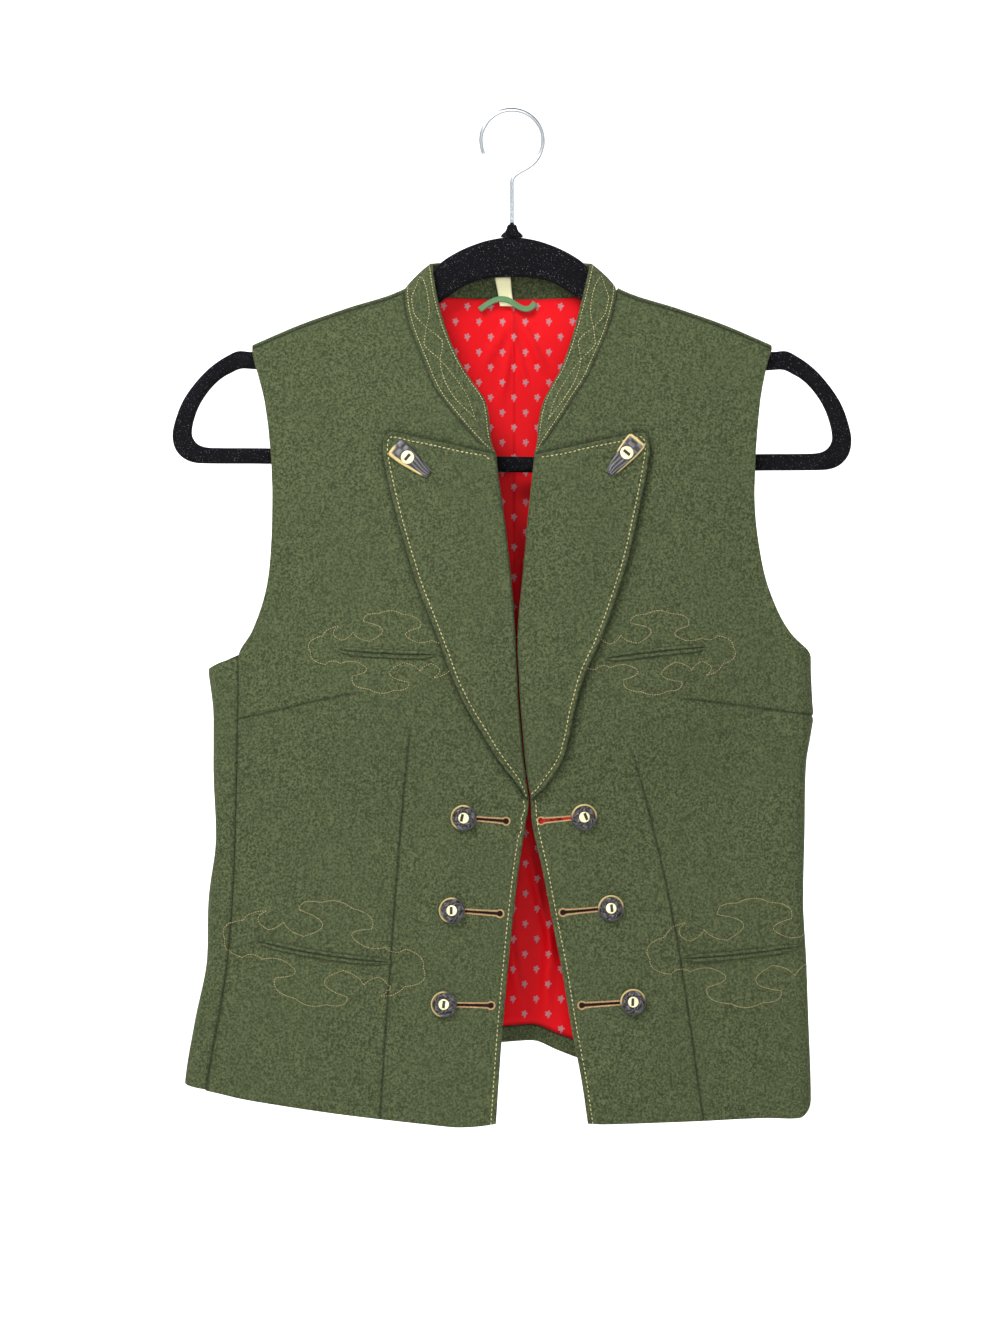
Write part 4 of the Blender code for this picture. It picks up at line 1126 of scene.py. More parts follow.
# The lapels. The front's edge turned back at the roll line and pressed softly, so that it stands
# off the front in a belly. The cloth is doubled, rolls round the edge and is topstitched.
LAPELS = table(
    "edge_up right_edge left_edge roll_up right_roll left_roll",
    (
        (-450.5, 8.4, 14.6, -452.0, 10.9, 12.0),
        (-443.0, 3.8, 22.0, -443.0, 9.6, 10.6),
        (-427.0, -8.6, 32.3, -427.0, 7.6, 8.4),
        (-410.0, -19.0, 37.2, -410.0, 6.0, 6.9),
        (-391.0, -30.6, 41.4, -391.0, 4.4, 5.3),
        (-371.5, -39.7, 47.2, -371.5, 3.4, 4.3),
        (-352.0, -46.5, 56.0, -352.0, 2.4, 3.4),
        (-332.6, -54.0, 63.5, -332.5, 1.5, 4.2),
        (-313.0, -61.5, 70.0, -313.0, -0.1, 6.1),
        (-292.8, -67.7, 75.9, -293.4, -2.1, 8.0),
        (-272.7, -73.6, 80.5, -273.8, -4.3, 9.7),
        (-254.7, -78.2, 84.5, -257.5, -6.6, 11.3),
        (-236.9, -82.2, 87.9, -243.0, -8.5, 12.9),
        (-224.0, -84.0, 89.6, -234.5, -9.6, 13.8),
        (-216.0, -82.6, 88.2, -229.8, -9.9, 14.3),
        (-213.0, -78.0, 84.5, -228.2, -10.0, 14.4),
    ),
)
LAID_ON = 0.5
LAPEL_BELLY = 2.2
LAPEL_WALL = 2.6
LAPEL_WIDE = 80.0
LAPEL_STEPS = (1.8, 1.6)
EDGE_STANDS = 2.0
EDGE_SHADE = {"wide": 2.1, "deep": 0.95}
ROLL = {"deep": 2.6, "centre": -0.2, "tall": 3.3, "facing": 9.0, "facing_out": -3.5}
UNDER_ROLL = {"deep": 1.2, "centre": -0.9, "tall": 1.4, "facing": 9.0, "facing_out": -2.3}


def roll_path(roll, width):
    """Distance from the roll line and height of the cloth, from the facing round the roll."""
    room = np.minimum(1.0, 0.35 * width / ROLL["deep"])
    turn = np.linspace(0, math.pi, 13)
    inside = np.linspace(roll["facing"], ROLL["deep"], 5)[:-1]
    s = np.concatenate([inside, ROLL["deep"] - roll["deep"] * np.sin(turn)])
    out = np.concatenate([np.full(4, roll["facing_out"]), roll["centre"] - roll["tall"] * np.cos(turn)])
    return s * room, np.broadcast_to(out, (len(width), len(out)))


def lapel_lift(share, grown=1.0):
    """How far the lapel stands off the front, from the roll line to its free edge."""
    belly = LAPEL_BELLY * np.sin(math.pi * share) ** 2
    return LAID_ON + (belly + EDGE_STANDS * ease((share - 0.7) / 0.3)) * grown


def lapel_body(which):
    """Both faces of a lapel as distances across, up and out, from the facing to the free edge."""
    t_all = np.linspace(0, len(LAPELS["edge_up"]) - 1, 500)
    edge = np.stack([by_row(LAPELS[which + "_edge"], t_all), by_row(LAPELS["edge_up"], t_all)], -1)
    far = np.concatenate([[0], np.cumsum(np.linalg.norm(np.diff(edge, axis=0), axis=-1))])
    t = np.interp(stations(far[-1], LAPEL_STEPS[0]) * far[-1], far, t_all)
    edge = np.stack([by_row(LAPELS[which + "_edge"], t), by_row(LAPELS["edge_up"], t)], -1)
    roll = np.stack([by_row(LAPELS[which + "_roll"], t), by_row(LAPELS["roll_up"], t)], -1)
    width = np.linalg.norm(edge - roll, axis=-1)[:, None]
    heading = (edge - roll) / width
    share = stations(LAPEL_WIDE, LAPEL_STEPS[1], (False, True))[1:]
    grown = np.minimum(1, 0.35 + t / 4)[:, None]
    lift = lapel_lift(share, grown)
    faces = []
    for roll_form, wall in ((ROLL, LAPEL_WALL), (UNDER_ROLL, 0.0)):
        s_roll, out_roll = roll_path(roll_form, width)
        start = s_roll[:, -1:]
        s = np.concatenate([s_roll, start + (width - start) * share], axis=1)
        out = np.concatenate([out_roll, lift + wall], axis=1)
        across = roll[:, :1] + heading[:, :1] * s
        up = roll[:, 1:] + heading[:, 1:] * s
        faces.append((across, up, out))
    return faces


lapels = {}
for which in ("right", "left"):
    (across, up, out), (under_across, under_up, under_out) = lapel_body(which)
    outer = cloth(FRONT, across, up, out)
    drop, sunk, channel = edge_form(outer, (0.0, 0.0, 0.0, 0.0), LAPEL_WALL, stitched=(1, 3))
    relief = -channel
    lapels[which] = make_shell(
        f"lapel_{which}_cloth",
        cloth(FRONT, across, up, out + relief - drop),
        cloth(FRONT, under_across, under_up, under_out + np.minimum(drop, (out - under_out) / 2)),
        wool,
    )
    settle(lapels[which], "wool", f"lapel_{which}")

    # Painted shadow: the front is darkened in a band beside the lapel's edge, where the lapel keeps light
    # off it
    t = np.linspace(0, len(LAPELS["edge_up"]) - 1, 240)
    rim = np.stack([by_row(LAPELS[which + "_edge"], t), by_row(LAPELS["edge_up"], t)], -1)
    notch = np.linspace(rim[-1], (LAPELS[which + "_roll"][-1], LAPELS["roll_up"][-1]), 60)
    rim = np.concatenate([rim, notch])
    front_mesh = fronts[which].data
    spots = np.empty(len(front_mesh.vertices) * 3)
    front_mesh.vertices.foreach_get("co", spots)
    spots = spots.reshape(-1, 3)[:, [0, 2]] / MM
    off = np.min([np.hypot(*(spots - place).T) for place in rim], axis=0)
    painted_shades = np.empty(len(spots))
    front_mesh.attributes["painted_shade"].data.foreach_get("value", painted_shades)
    painted_shades = np.maximum(painted_shades, EDGE_SHADE["deep"] * np.exp(-((off / EDGE_SHADE["wide"]) ** 2)))
    front_mesh.attributes["painted_shade"].data.foreach_set("value", painted_shades)

# The pockets. Jetted: the cloth is slit and each side of the slit bound with a narrow folded
# strip of the same wool, so that two lips meet over a dark line.
POCKETS = (
    {"name": "pocket_chest_right", "start": (-113.6, -355.2), "end": (-49.3, -358.4), "sag": 1.0},
    {"name": "pocket_chest_left", "start": (59.8, -361.0), "end": (127.1, -353.3), "sag": -0.5},
    {"name": "pocket_hip_right", "start": (-169.1, -545.9), "end": (-79.0, -559.3), "sag": 2.4},
    {"name": "pocket_hip_left", "start": (111.5, -557.4), "end": (190.0, -550.0), "sag": 1.2},
)
LIP_WIDE = 3.1
LIP_TALL = 1.0
LIP_PROFILE = np.linspace(-1, 1, 33)
pockets = {"right": [], "left": []}
for pocket in POCKETS:
    (start, start_up), (end, end_up) = pocket["start"], pocket["end"]
    length = math.hypot(end - start, end_up - start_up)
    heading = ((end - start) / length, (end_up - start_up) / length)
    t = stations(length, 1.2)[:, None]
    narrow = np.minimum(1, 0.35 + 5 * np.minimum(t, 1 - t))
    place = LIP_PROFILE * LIP_WIDE
    lip = np.sqrt(np.clip(1 - (2 * np.abs(LIP_PROFILE) - 1) ** 2, 0, 1))
    height = (0.1 + LIP_TALL * lip) * np.minimum(1, 12 * np.minimum(t, 1 - t) + 0.1)
    across = start + (end - start) * t - heading[1] * place * narrow
    up = start_up + (end_up - start_up) * t + heading[0] * place * narrow
    up = up - pocket["sag"] * 4 * t * (1 - t)
    # Painted shade in the slit between the lips and along their outer edges.
    slit_shade = np.exp(-((place / 0.62) ** 2)) * np.ones_like(t)
    slit_shade = np.maximum(slit_shade, 0.9 * np.exp(-(((np.abs(place) - LIP_WIDE) / 0.6) ** 2)))
    lips = make_shell(
        pocket["name"] + "_lips",
        cloth(FRONT, across, up, LAID_ON - 0.2 + height),
        cloth(FRONT, across, up, np.full(across.shape, -0.3)),
        wool,
        painted_shade=slit_shade,
    )
    settle(lips, "wool", pocket["name"])
    pockets["right" if start < 0 else "left"].append(lips)

# The stitching. Gold-green buttonhole thread, sewn by machine 3 mm inside the edges of lapels and
# fronts, in two rows and a plait on the collar, and as an ornament of leaves round each pocket.
THREAD_GOLD = (0.80, 0.70, 0.36)
THREAD_DARK = (0.42, 0.34, 0.15)
EDGE_STITCH = {"Pitch": 3.0, "Length": 1.95, "Width": 0.66, "Height": 0.5, "Slant": 0.06, "Wobble": 0.08}
COLLAR_STITCH = {"Pitch": 2.0, "Length": 1.4, "Width": 0.46, "Height": 0.4, "Slant": 0.05, "Wobble": 0.07}
LEAF_STITCH = {"Pitch": 1.6, "Length": 1.15, "Width": 0.46, "Height": 0.4, "Slant": 0.0, "Wobble": 0.06}
EDGE_INSET = 3.2
ROW_STOPS = 0.07


def stitch_tree():
    """Geometry Nodes: a lens-shaped stitch at even steps along each line, lying on the cloth."""
    tree = bpy.data.node_groups.new("stitch_row", "GeometryNodeTree")
    tree.interface.new_socket("Lines", in_out="INPUT", socket_type="NodeSocketGeometry")
    for name in ("Pitch", "Length", "Width", "Height", "Slant", "Wobble"):
        tree.interface.new_socket(name, in_out="INPUT", socket_type="NodeSocketFloat")
    tree.interface.new_socket("Seed", in_out="INPUT", socket_type="NodeSocketInt")
    tree.interface.new_socket("Thread", in_out="INPUT", socket_type="NodeSocketMaterial")
    tree.interface.new_socket("Stitches", in_out="OUTPUT", socket_type="NodeSocketGeometry")

    def add(kind, settings=None, sockets=None):
        made = tree.nodes.new(kind)
        for name, value in (settings or {}).items():
            setattr(made, name, value)
        for name, value in (sockets or {}).items():
            if isinstance(value, bpy.types.NodeSocket):
                tree.links.new(value, made.inputs[name])
            else:
                made.inputs[name].default_value = value
        return made

    given = tree.nodes.new("NodeGroupInput").outputs
    curve = add("GeometryNodeMeshToCurve", {}, {"Mesh": given["Lines"]})
    row = add(
        "GeometryNodeResampleCurve",
        {"mode": "LENGTH"},
        {"Curve": curve.outputs["Curve"], "Length": given["Pitch"]},
    )
    up = add("GeometryNodeInputNamedAttribute", {"data_type": "FLOAT_VECTOR"}, {"Name": "up"})
    tangent = tree.nodes.new("GeometryNodeInputTangent")
    stand = add("FunctionNodeAlignRotationToVector", {"axis": "Z"}, {"Vector": up.outputs["Attribute"]})
    lie = add(
        "FunctionNodeAlignRotationToVector",
        {"axis": "X", "pivot_axis": "Z"},
        {"Rotation": stand.outputs["Rotation"], "Vector": tangent.outputs["Tangent"]},
    )
    least = add("ShaderNodeMath", {"operation": "SUBTRACT"}, {0: given["Slant"], 1: given["Wobble"]})
    most = add("ShaderNodeMath", {"operation": "ADD"}, {0: given["Slant"], 1: given["Wobble"]})
    swing = add(
        "FunctionNodeRandomValue",
        {"data_type": "FLOAT"},
        {2: least.outputs["Value"], 3: most.outputs["Value"], "Seed": given["Seed"]},
    )
    angle = add("ShaderNodeCombineXYZ", {}, {"Z": swing.outputs[1]})
    turn = add("FunctionNodeEulerToRotation", {}, {"Euler": angle.outputs["Vector"]})
    laid = add(
        "FunctionNodeRotateRotation",
        {"rotation_space": "LOCAL"},
        {"Rotation": lie.outputs["Rotation"], "Rotate By": turn.outputs["Rotation"]},
    )
    grow = add(
        "FunctionNodeRandomValue",
        {"data_type": "FLOAT_VECTOR"},
        {0: (0.86, 0.9, 0.8), 1: (1.1, 1.12, 1.15), "Seed": given["Seed"]},
    )
    sizes = {"X": given["Length"], "Y": given["Width"], "Z": given["Height"]}
    size = add("ShaderNodeCombineXYZ", {}, sizes)
    bead = add("GeometryNodeMeshUVSphere", {}, {"Segments": 6, "Rings": 4, "Radius": 0.5})
    stitch = add(
        "GeometryNodeTransform",
        {},
        {"Geometry": bead.outputs["Mesh"], "Scale": size.outputs["Vector"]},
    )
    placed = add(
        "GeometryNodeInstanceOnPoints",
        {},
        {
            "Points": row.outputs["Curve"],
            "Instance": stitch.outputs["Geometry"],
            "Rotation": laid.outputs["Rotation"],
            "Scale": grow.outputs["Value"],
        },
    )
    real = add("GeometryNodeRealizeInstances", {}, {"Geometry": placed.outputs["Instances"]})
    threaded = add(
        "GeometryNodeSetMaterial",
        {},
        {"Geometry": real.outputs["Geometry"], "Material": given["Thread"]},
    )
    out = tree.nodes.new("NodeGroupOutput")
    tree.links.new(threaded.outputs["Geometry"], out.inputs["Stitches"])
    return tree


def thread_finish(name, light, dark):
    """Twisted thread: a pale strand with darker turns."""
    made = Finish(name, roughness=0.5, sheen_weight=0.2)
    strands = made.noise(made.places(), 1400.0, 2.0)
    made.use("Base Color", made.mix(strands.between(0.35, 0.7), dark, light))
    made.bump(made.noise(made.places(), 3000.0, 2.0), 0.3, 0.0002)
    return made


stitch_row = stitch_tree()
gold_thread = thread_finish("gold_thread", THREAD_GOLD, THREAD_DARK)
leaf_thread = thread_finish("leaf_thread", (0.52, 0.41, 0.17), (0.27, 0.19, 0.08))


def sew(name, lines, form, thread, seed):
    """Runs the stitch tree over lines of (points, directions away from the cloth)."""
    points, ups, pairs = [], [], []
    for line, up in lines:
        first = len(points)
        points += (line * MM).tolist()
        ups += up.tolist()
        pairs += [(n, n + 1) for n in range(first, len(points) - 1)]
    guide = bpy.data.meshes.new("guide")
    guide.from_pydata(points, pairs, [])
    up_marks = guide.attributes.new("up", "FLOAT_VECTOR", "POINT")
    up_marks.data.foreach_set("vector", np.array(ups).reshape(-1))
    carrier = bpy.data.objects.new("guide", guide)
    bpy.context.collection.objects.link(carrier)
    sewing = carrier.modifiers.new("sewing", "NODES")
    sewing.node_group = stitch_row
    given = {key: value * (1 if key in ("Slant", "Wobble") else MM) for key, value in form.items()}
    given.update({"Seed": seed, "Thread": thread.material})
    for item in stitch_row.interface.items_tree:
        if item.in_out == "INPUT" and item.name in given:
            sewing[item.identifier] = given[item.name]
    ready = carrier.evaluated_get(bpy.context.evaluated_depsgraph_get())
    mesh = bpy.data.meshes.new_from_object(ready)
    carrier.modifiers.remove(sewing)
    bpy.data.objects.remove(carrier)
    mesh.name = name
    mesh.shade_smooth()
    piece = make_piece(name, mesh, thread)
    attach(piece, body)
    return piece


def surface(*things):
    """Finished pieces as one surface on which points can be laid, in millimetres."""
    corners, faces = [], []
    for thing in things:
        mesh = thing.data
        flat = np.empty(len(mesh.vertices) * 3)
        mesh.vertices.foreach_get("co", flat)
        first = len(corners)
        corners += (flat.reshape(-1, 3) / MM).tolist()
        faces += [[first + n for n in polygon.vertices] for polygon in mesh.polygons]
    return BVHTree.FromPolygons(corners, faces)


def lay_on(ground, points, lift=0.12):
    """The nearest places on a surface, lifted a little, and the directions away from it."""
    places, ways = [], []
    for point in points:
        place, way, number, distance = ground.find_nearest(point)
        away = np.array(point) - np.array(place)
        way = np.array(way) if np.dot(way, away) >= 0 else -np.array(way)
        places.append(np.array(place) + way * lift)
        ways.append(way)
    return np.array(places), np.array(ways)


def even_line(line, step=1.0):
    """A line resampled at even steps."""
    run = np.concatenate([[0], np.cumsum(np.linalg.norm(np.diff(line, axis=0), axis=-1))])
    at = np.linspace(0, run[-1], max(2, round(run[-1] / step)) + 1)
    return np.stack([np.interp(at, run, line[:, n]) for n in range(line.shape[1])], -1)


def inset_line(outline, inset, keep_left):
    """The line that runs inside an outline of (across, up) at an even distance from it."""
    line = even_line(outline, 0.8)
    heading = np.gradient(line, axis=0)
    heading /= np.linalg.norm(heading, axis=-1, keepdims=True)
    side = np.stack([-heading[:, 1], heading[:, 0]], -1) * (1 if keep_left else -1)
    moved = line + side * inset
    gap = np.linalg.norm(moved[:, None] - line[None], axis=-1).min(axis=1)
    return even_line(moved[gap > inset * 0.97], 1.0)


ground = {which: surface(fronts[which], back) for which in ("right", "left")}
lapel_ground = {which: surface(lapels[which]) for which in ("right", "left")}
for number, which in enumerate(("right", "left")):
    t = np.linspace(0, len(LAPELS["edge_up"]) - 1, 300)
    free = np.stack([by_row(LAPELS[which + "_edge"], t), by_row(LAPELS["edge_up"], t)], -1)
    end = np.array([[LAPELS[which + "_roll"][-1], LAPELS["roll_up"][-1]]])
    end = end + (free[-1] - end) * ROW_STOPS
    line = inset_line(np.concatenate([free, end]), EDGE_INSET, keep_left=which == "left")
    guess = cloth(FRONT, line[:, 0], line[:, 1], LAID_ON + LAPEL_WALL + LAPEL_BELLY)
    rows = [lay_on(lapel_ground[which], guess)]
    sew(f"lapel_{which}_stitches", rows, EDGE_STITCH, gold_thread, 11 + number)

    t = np.linspace(0, 6.95, 200)
    edge = np.stack([by_row(FRONTS[which + "_edge"], t), by_row(FRONTS["edge_up"], t)], -1)
    line = inset_line(edge, EDGE_INSET, keep_left=which == "right")
    rows = [lay_on(ground[which], cloth(FRONT, line[:, 0], line[:, 1], 1.5))]
    sew(f"front_{which}_stitches", rows, EDGE_STITCH, gold_thread, 21 + number)

# The collar's rows follow its seam and its free edge; the plait crosses between them
COLLAR_INSET = 2.1
PLAIT = table(
    "row first second",
    (
        (2.7, 0.53, 0.53),
        (3.6, 0.60, 0.33),
        (4.5, 0.63, 0.29),
        (5.4, 0.59, 0.34),
        (6.1, 0.45, 0.45),
        (6.5, 0.20, 0.66),
        (6.75, 0.30, 0.75),
        (7.1, 0.45, 0.44),
        (7.6, 0.66, 0.21),
        (8.2, 0.72, 0.22),
        (8.8, 0.66, 0.42),
        (9.2, 0.56, 0.56),
    ),
)
COLLAR_ROWS = len(COLLAR["way"])
collar_ground = surface(collar)


def on_collar(row, share):
    """Points on the collar by table row from the wearer's right end and share of its width."""
    at = np.interp(row, np.arange(len(run)), run)
    seam, free = read_line(run, seam_line, at), read_line(run, free_line, at)
    return seam + (free - seam) * share[:, None], np.linalg.norm(free - seam, axis=-1)


rows = []
row = np.linspace(0.35, 2 * COLLAR_ROWS - 2.35, 700)
wide = on_collar(row, np.zeros(len(row)))[1]
for share in (COLLAR_INSET / wide, 1 - COLLAR_INSET / wide):
    rows.append(lay_on(collar_ground, on_collar(row, share)[0] + (0, -0.6, 0.3)))
for end in (0.0, 1.0):
    row = np.linspace(PLAIT["row"][0], PLAIT["row"][-1], 240)
    for strand in ("first", "second"):
        share = smooth(PLAIT["row"], PLAIT[strand], row)
        along_row = row if end == 0 else 2 * COLLAR_ROWS - 2 - row
        rows.append(lay_on(collar_ground, on_collar(along_row, share)[0] + (0, -0.8, 0.0)))
sew("collar_stitches", rows, COLLAR_STITCH, gold_thread, 31)

# The leaf ornament: corners of half an outline from end to end, and how far each bow between
# them swells out (or hollows in) as a share of its length. Turned half round it is the rest.
LEAVES = table(
    "along up bow",
    (
        (-1.00, 0.00, 0.24),
        (-0.84, 0.36, 0.16),
        (-0.62, 0.58, -0.30),
        (-0.58, 0.26, -0.10),
        (-0.44, 0.44, -0.14),
        (-0.22, 0.24, -0.48),
        (-0.30, 0.68, 0.30),
        (-0.10, 0.86, 0.24),
        (0.22, 0.84, 0.26),
        (0.44, 0.54, -0.52),
        (0.40, 0.22, -0.12),
        (0.60, 0.26, -0.34),
        (0.80, 0.28, 0.20),
        (1.00, 0.00, 0.0),
    ),
)
ORNAMENTS = (
    {"name": "chest_right", "which": "right", "middle": (-82.0, -356.5), "half": (50.0, 29.0), "turn": 0.0},
    {"name": "chest_left", "which": "left", "middle": (94.0, -357.0), "half": (51.0, 29.5), "turn": 4.0},
    {"name": "hip_right", "which": "right", "middle": (-123.5, -554.0), "half": (66.0, 38.0), "turn": -8.0},
    {"name": "hip_left", "which": "left", "middle": (156.0, -554.0), "half": (66.0, 38.5), "turn": 3.0},
)


def leaf_outline():
    """The whole outline in units of its half length and half height."""
    half = []
    corners = np.stack([LEAVES["along"], LEAVES["up"]], -1)
    for a, b, bow in zip(corners, corners[1:], LEAVES["bow"]):
        t = np.linspace(0, 1, 14)[:-1, None]
        chord = b - a
        side = np.array([-chord[1], chord[0]])
        half.append(a + chord * t + side * bow * 4 * t * (1 - t))
    half = np.concatenate(half)
    return np.concatenate([half, -half, half[:1]])


for number, leaf in enumerate(ORNAMENTS):
    turn = math.radians(leaf["turn"])
    shape = leaf_outline() * leaf["half"]
    along = leaf["middle"][0] + shape[:, 0] * math.cos(turn) - shape[:, 1] * math.sin(turn)
    up = leaf["middle"][1] + shape[:, 0] * math.sin(turn) + shape[:, 1] * math.cos(turn)
    line = even_line(np.stack([along, up], -1), 0.6)
    which = leaf["which"]
    edge = smooth(LAPELS["edge_up"], LAPELS[which + "_edge"], line[:, 1])
    clear = line[:, 0] < edge - 0.4 if which == "right" else line[:, 0] > edge + 0.4
    clear |= leaf["name"].startswith("hip")
    cuts = np.flatnonzero(np.diff(clear.astype(int))) + 1
    rows = []
    for piece in np.split(np.arange(len(line)), cuts):
        if clear[piece[0]] and len(piece) > 4:
            rows.append(lay_on(ground[which], cloth(FRONT, line[piece, 0], line[piece, 1], 2.2), 0.1))
    sew(f"ornament_{leaf['name']}", rows, LEAF_STITCH, leaf_thread, 41 + number)

# The buttonholes. Keyholes worked by machine in tan twist, cut from the button towards the edge.
# They are for show: the buttons are sewn on beside them.
BUTTONS = (
    {"name": "button_right_top", "at": (-31.4, -464.6), "eye": (-4.0, -466.9), "slot": (0.3, 77)},
    {"name": "button_right_middle", "at": (-39.2, -525.2), "eye": (-7.9, -527.3), "slot": (0.1, 90)},
    {"name": "button_right_bottom", "at": (-44.4, -586.5), "eye": (-13.8, -587.2), "slot": (0.0, 84)},
    {"name": "button_left_top", "at": (46.8, -464.0), "eye": (18.8, -466.7), "slot": (-0.3, 112)},
    {"name": "button_left_middle", "at": (64.4, -523.9), "eye": (33.1, -526.6), "slot": (-0.1, 96)},
    {"name": "button_left_bottom", "at": (78.7, -585.2), "eye": (45.5, -587.2), "slot": (0.1, 88)},
)
HOLE_STARTS = 7.0
HOLE_HALF = 1.6
EYE_RADIUS = 2.5
PURL_STITCH = {"Pitch": 0.6, "Length": 1.25, "Width": 0.62, "Height": 0.55, "Slant": 1.57, "Wobble": 0.12}
twist = thread_finish("tan_twist", (0.64, 0.40, 0.18), (0.36, 0.19, 0.08))
# Painted shade: a near-black sheet in each cut stands for the shade inside the hole.
hole_shade = Finish("buttonhole_painted_shade", roughness=0.9, specular_ior_level=0.1)
shade = hole_shade.noise(hole_shade.places(), 400.0)
hole_shade.use("Base Color", hole_shade.mix(shade, (0.003, 0.002, 0.002), (0.030, 0.008, 0.007)))
# A sheet of lining red darkened with painted shade, in the one hole through which the lining shows.
hole_lining_shade = Finish("shaded_lining_in_buttonhole", roughness=0.8, specular_ior_level=0.1)
shade = hole_lining_shade.noise(hole_lining_shade.places(), 260.0)
colour = hole_lining_shade.mix(shade.between(0.35, 0.6), (0.02, 0.003, 0.003), (0.42, 0.012, 0.010))
hole_lining_shade.use("Base Color", colour)
SHOWS_LINING = "button_left_top"
rows = {"right": [], "left": []}
for button in BUTTONS:
    which = "right" if button["at"][0] < 0 else "left"
    start, eye = np.array(button["at"]), np.array(button["eye"])
    length = np.linalg.norm(eye - start)
    heading = (eye - start) / length
    side = np.array([-heading[1], heading[0]])
    neck = length - EYE_RADIUS * 0.85
    opening = math.asin(HOLE_HALF / EYE_RADIUS)
    circle = np.linspace(math.pi - opening, -math.pi + opening, 30)
    path = [
        (HOLE_STARTS, HOLE_HALF * 0.8),
        ((HOLE_STARTS + neck) / 2, HOLE_HALF * 0.85),
        (neck - 1, HOLE_HALF),
    ]
    path += [(length + EYE_RADIUS * math.cos(a), EYE_RADIUS * math.sin(a)) for a in circle]
    path += [(s, -w) for s, w in reversed(path[:3])]
    path = np.array(path)
    line = even_line(start + path[:, :1] * heading + path[:, 1:] * side, 0.3)
    rows[which].append(lay_on(ground[which], cloth(FRONT, line[:, 0], line[:, 1], 1.5), 0.15))
    s = np.linspace(HOLE_STARTS, length + EYE_RADIUS - 0.7, 50)[:, None]
    eye_half = np.sqrt(np.clip((EYE_RADIUS - 0.55) ** 2 - (s - length) ** 2, 0, None))
    half = np.maximum(HOLE_HALF - 0.75, eye_half)
    half = half * np.sqrt(np.clip((length + EYE_RADIUS - 0.62 - s) / 0.4, 0, 1))
    spot = start + s[..., None] * heading + (np.linspace(-1, 1, 7) * half)[..., None] * side
    base, ways = lay_on(ground[which], cloth(FRONT, spot[..., 0], spot[..., 1], 1.5).reshape(-1, 3), 0.0)
    base, ways = base.reshape(50, 7, 3), ways.reshape(50, 7, 3)
    # The sheet in the cut carries the painted shade.
    inside = hole_lining_shade if button["name"] == SHOWS_LINING else hole_shade
    slit_shade = make_shell(button["name"] + "_slit", base + ways * 0.12, base - ways * 0.3, inside)
    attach(slit_shade, body)
for which in ("right", "left"):
    sew(f"buttonholes_{which}", rows[which], PURL_STITCH, twist, 51)

# The buttons. Moulded to look like carved stag horn: a dark leafy ring with a pale rim where the
# outer side of the horn shows, and a cream disc with a dark slot set into the middle.
HORN_DARK = (0.010, 0.009, 0.010)
HORN_GREY = (0.095, 0.088, 0.10)
HORN_RIM = (0.56, 0.43, 0.17)
horn = Finish("carved_horn", roughness=0.42, coat_weight=0.15, coat_roughness=0.3)
place = horn.places()
grain = horn.noise(place, 700.0, 4.0, 0.6, 0.8)
# Painted shade: the carving's hollows are darker, over the horn's own mottle.
hollow_shade = horn.attribute("painted_shade")
colour = horn.mix((grain * 0.5 + hollow_shade * 0.75).between(0.34, 0.68), HORN_GREY, HORN_DARK)
colour = horn.mix(horn.attribute("rim"), colour, HORN_RIM)
horn.use("Base Color", colour)
horn.use("Roughness", 0.34 + grain * 0.25)
horn.bump(grain, 0.35, 0.0004)
disc_cream = Finish("cream_disc", roughness=0.32, metallic=0.35)
shade = disc_cream.noise(disc_cream.places(), 500.0)
colour = disc_cream.mix(shade, (0.80, 0.72, 0.38), (0.92, 0.86, 0.56))
# Painted shade in the slot.
colour = disc_cream.mix(disc_cream.attribute("painted_shade"), colour, (0.02, 0.018, 0.012))
disc_cream.use("Base Color", colour)
disc_cream.use("Roughness", 0.28 + shade * 0.12)


def seat(across, up, out):
    """Centre and axes of a round piece that lies flat on a front."""
    centre = cloth(FRONT, across, up, out)
    normal = outward(FRONT, across, up)
    right = np.cross(normal, (0, 0, -1.0))
    right /= np.linalg.norm(right)
    return centre, np.array((right, np.cross(normal, right), normal))


def round_shell(name, centre, axes, radii, heights, marks, finish, sides=64):
    """A round piece closed at its middle: rings of heights by radius and angle, over a flat base."""
    angle = np.arange(sides) / sides * 2 * math.pi
    rings = []
    for radius, height in zip(radii, heights):
        level = np.broadcast_to(height, sides)
        local = np.stack([radius * np.cos(angle), radius * np.sin(angle), level], -1)
        rings.append(centre + local @ axes)
    points = np.concatenate([*rings, [centre + axes[2] * np.mean(heights[-1])]])
    faces = ring_faces(len(rings), sides)
    last = (len(rings) - 1) * sides
    faces += [(last + s, last + (s + 1) % sides, len(points) - 1) for s in range(sides)]
    faces.append(tuple(reversed(range(sides))))
    mesh = bpy.data.meshes.new(name)
    mesh.from_pydata((points * MM).tolist(), [], faces)
    face_outward(mesh)
    for mark, values in marks.items():
        flat = [*(np.broadcast_to(ring, sides) for ring in values), [np.mean(values[-1])]]
        marked = mesh.attributes.new(mark, "FLOAT", "POINT")
        marked.data.foreach_set("value", np.concatenate(flat))
    mesh.shade_smooth()
    mesh.set_sharp_from_angle(angle=math.radians(50))
    return make_piece(name, mesh, finish)


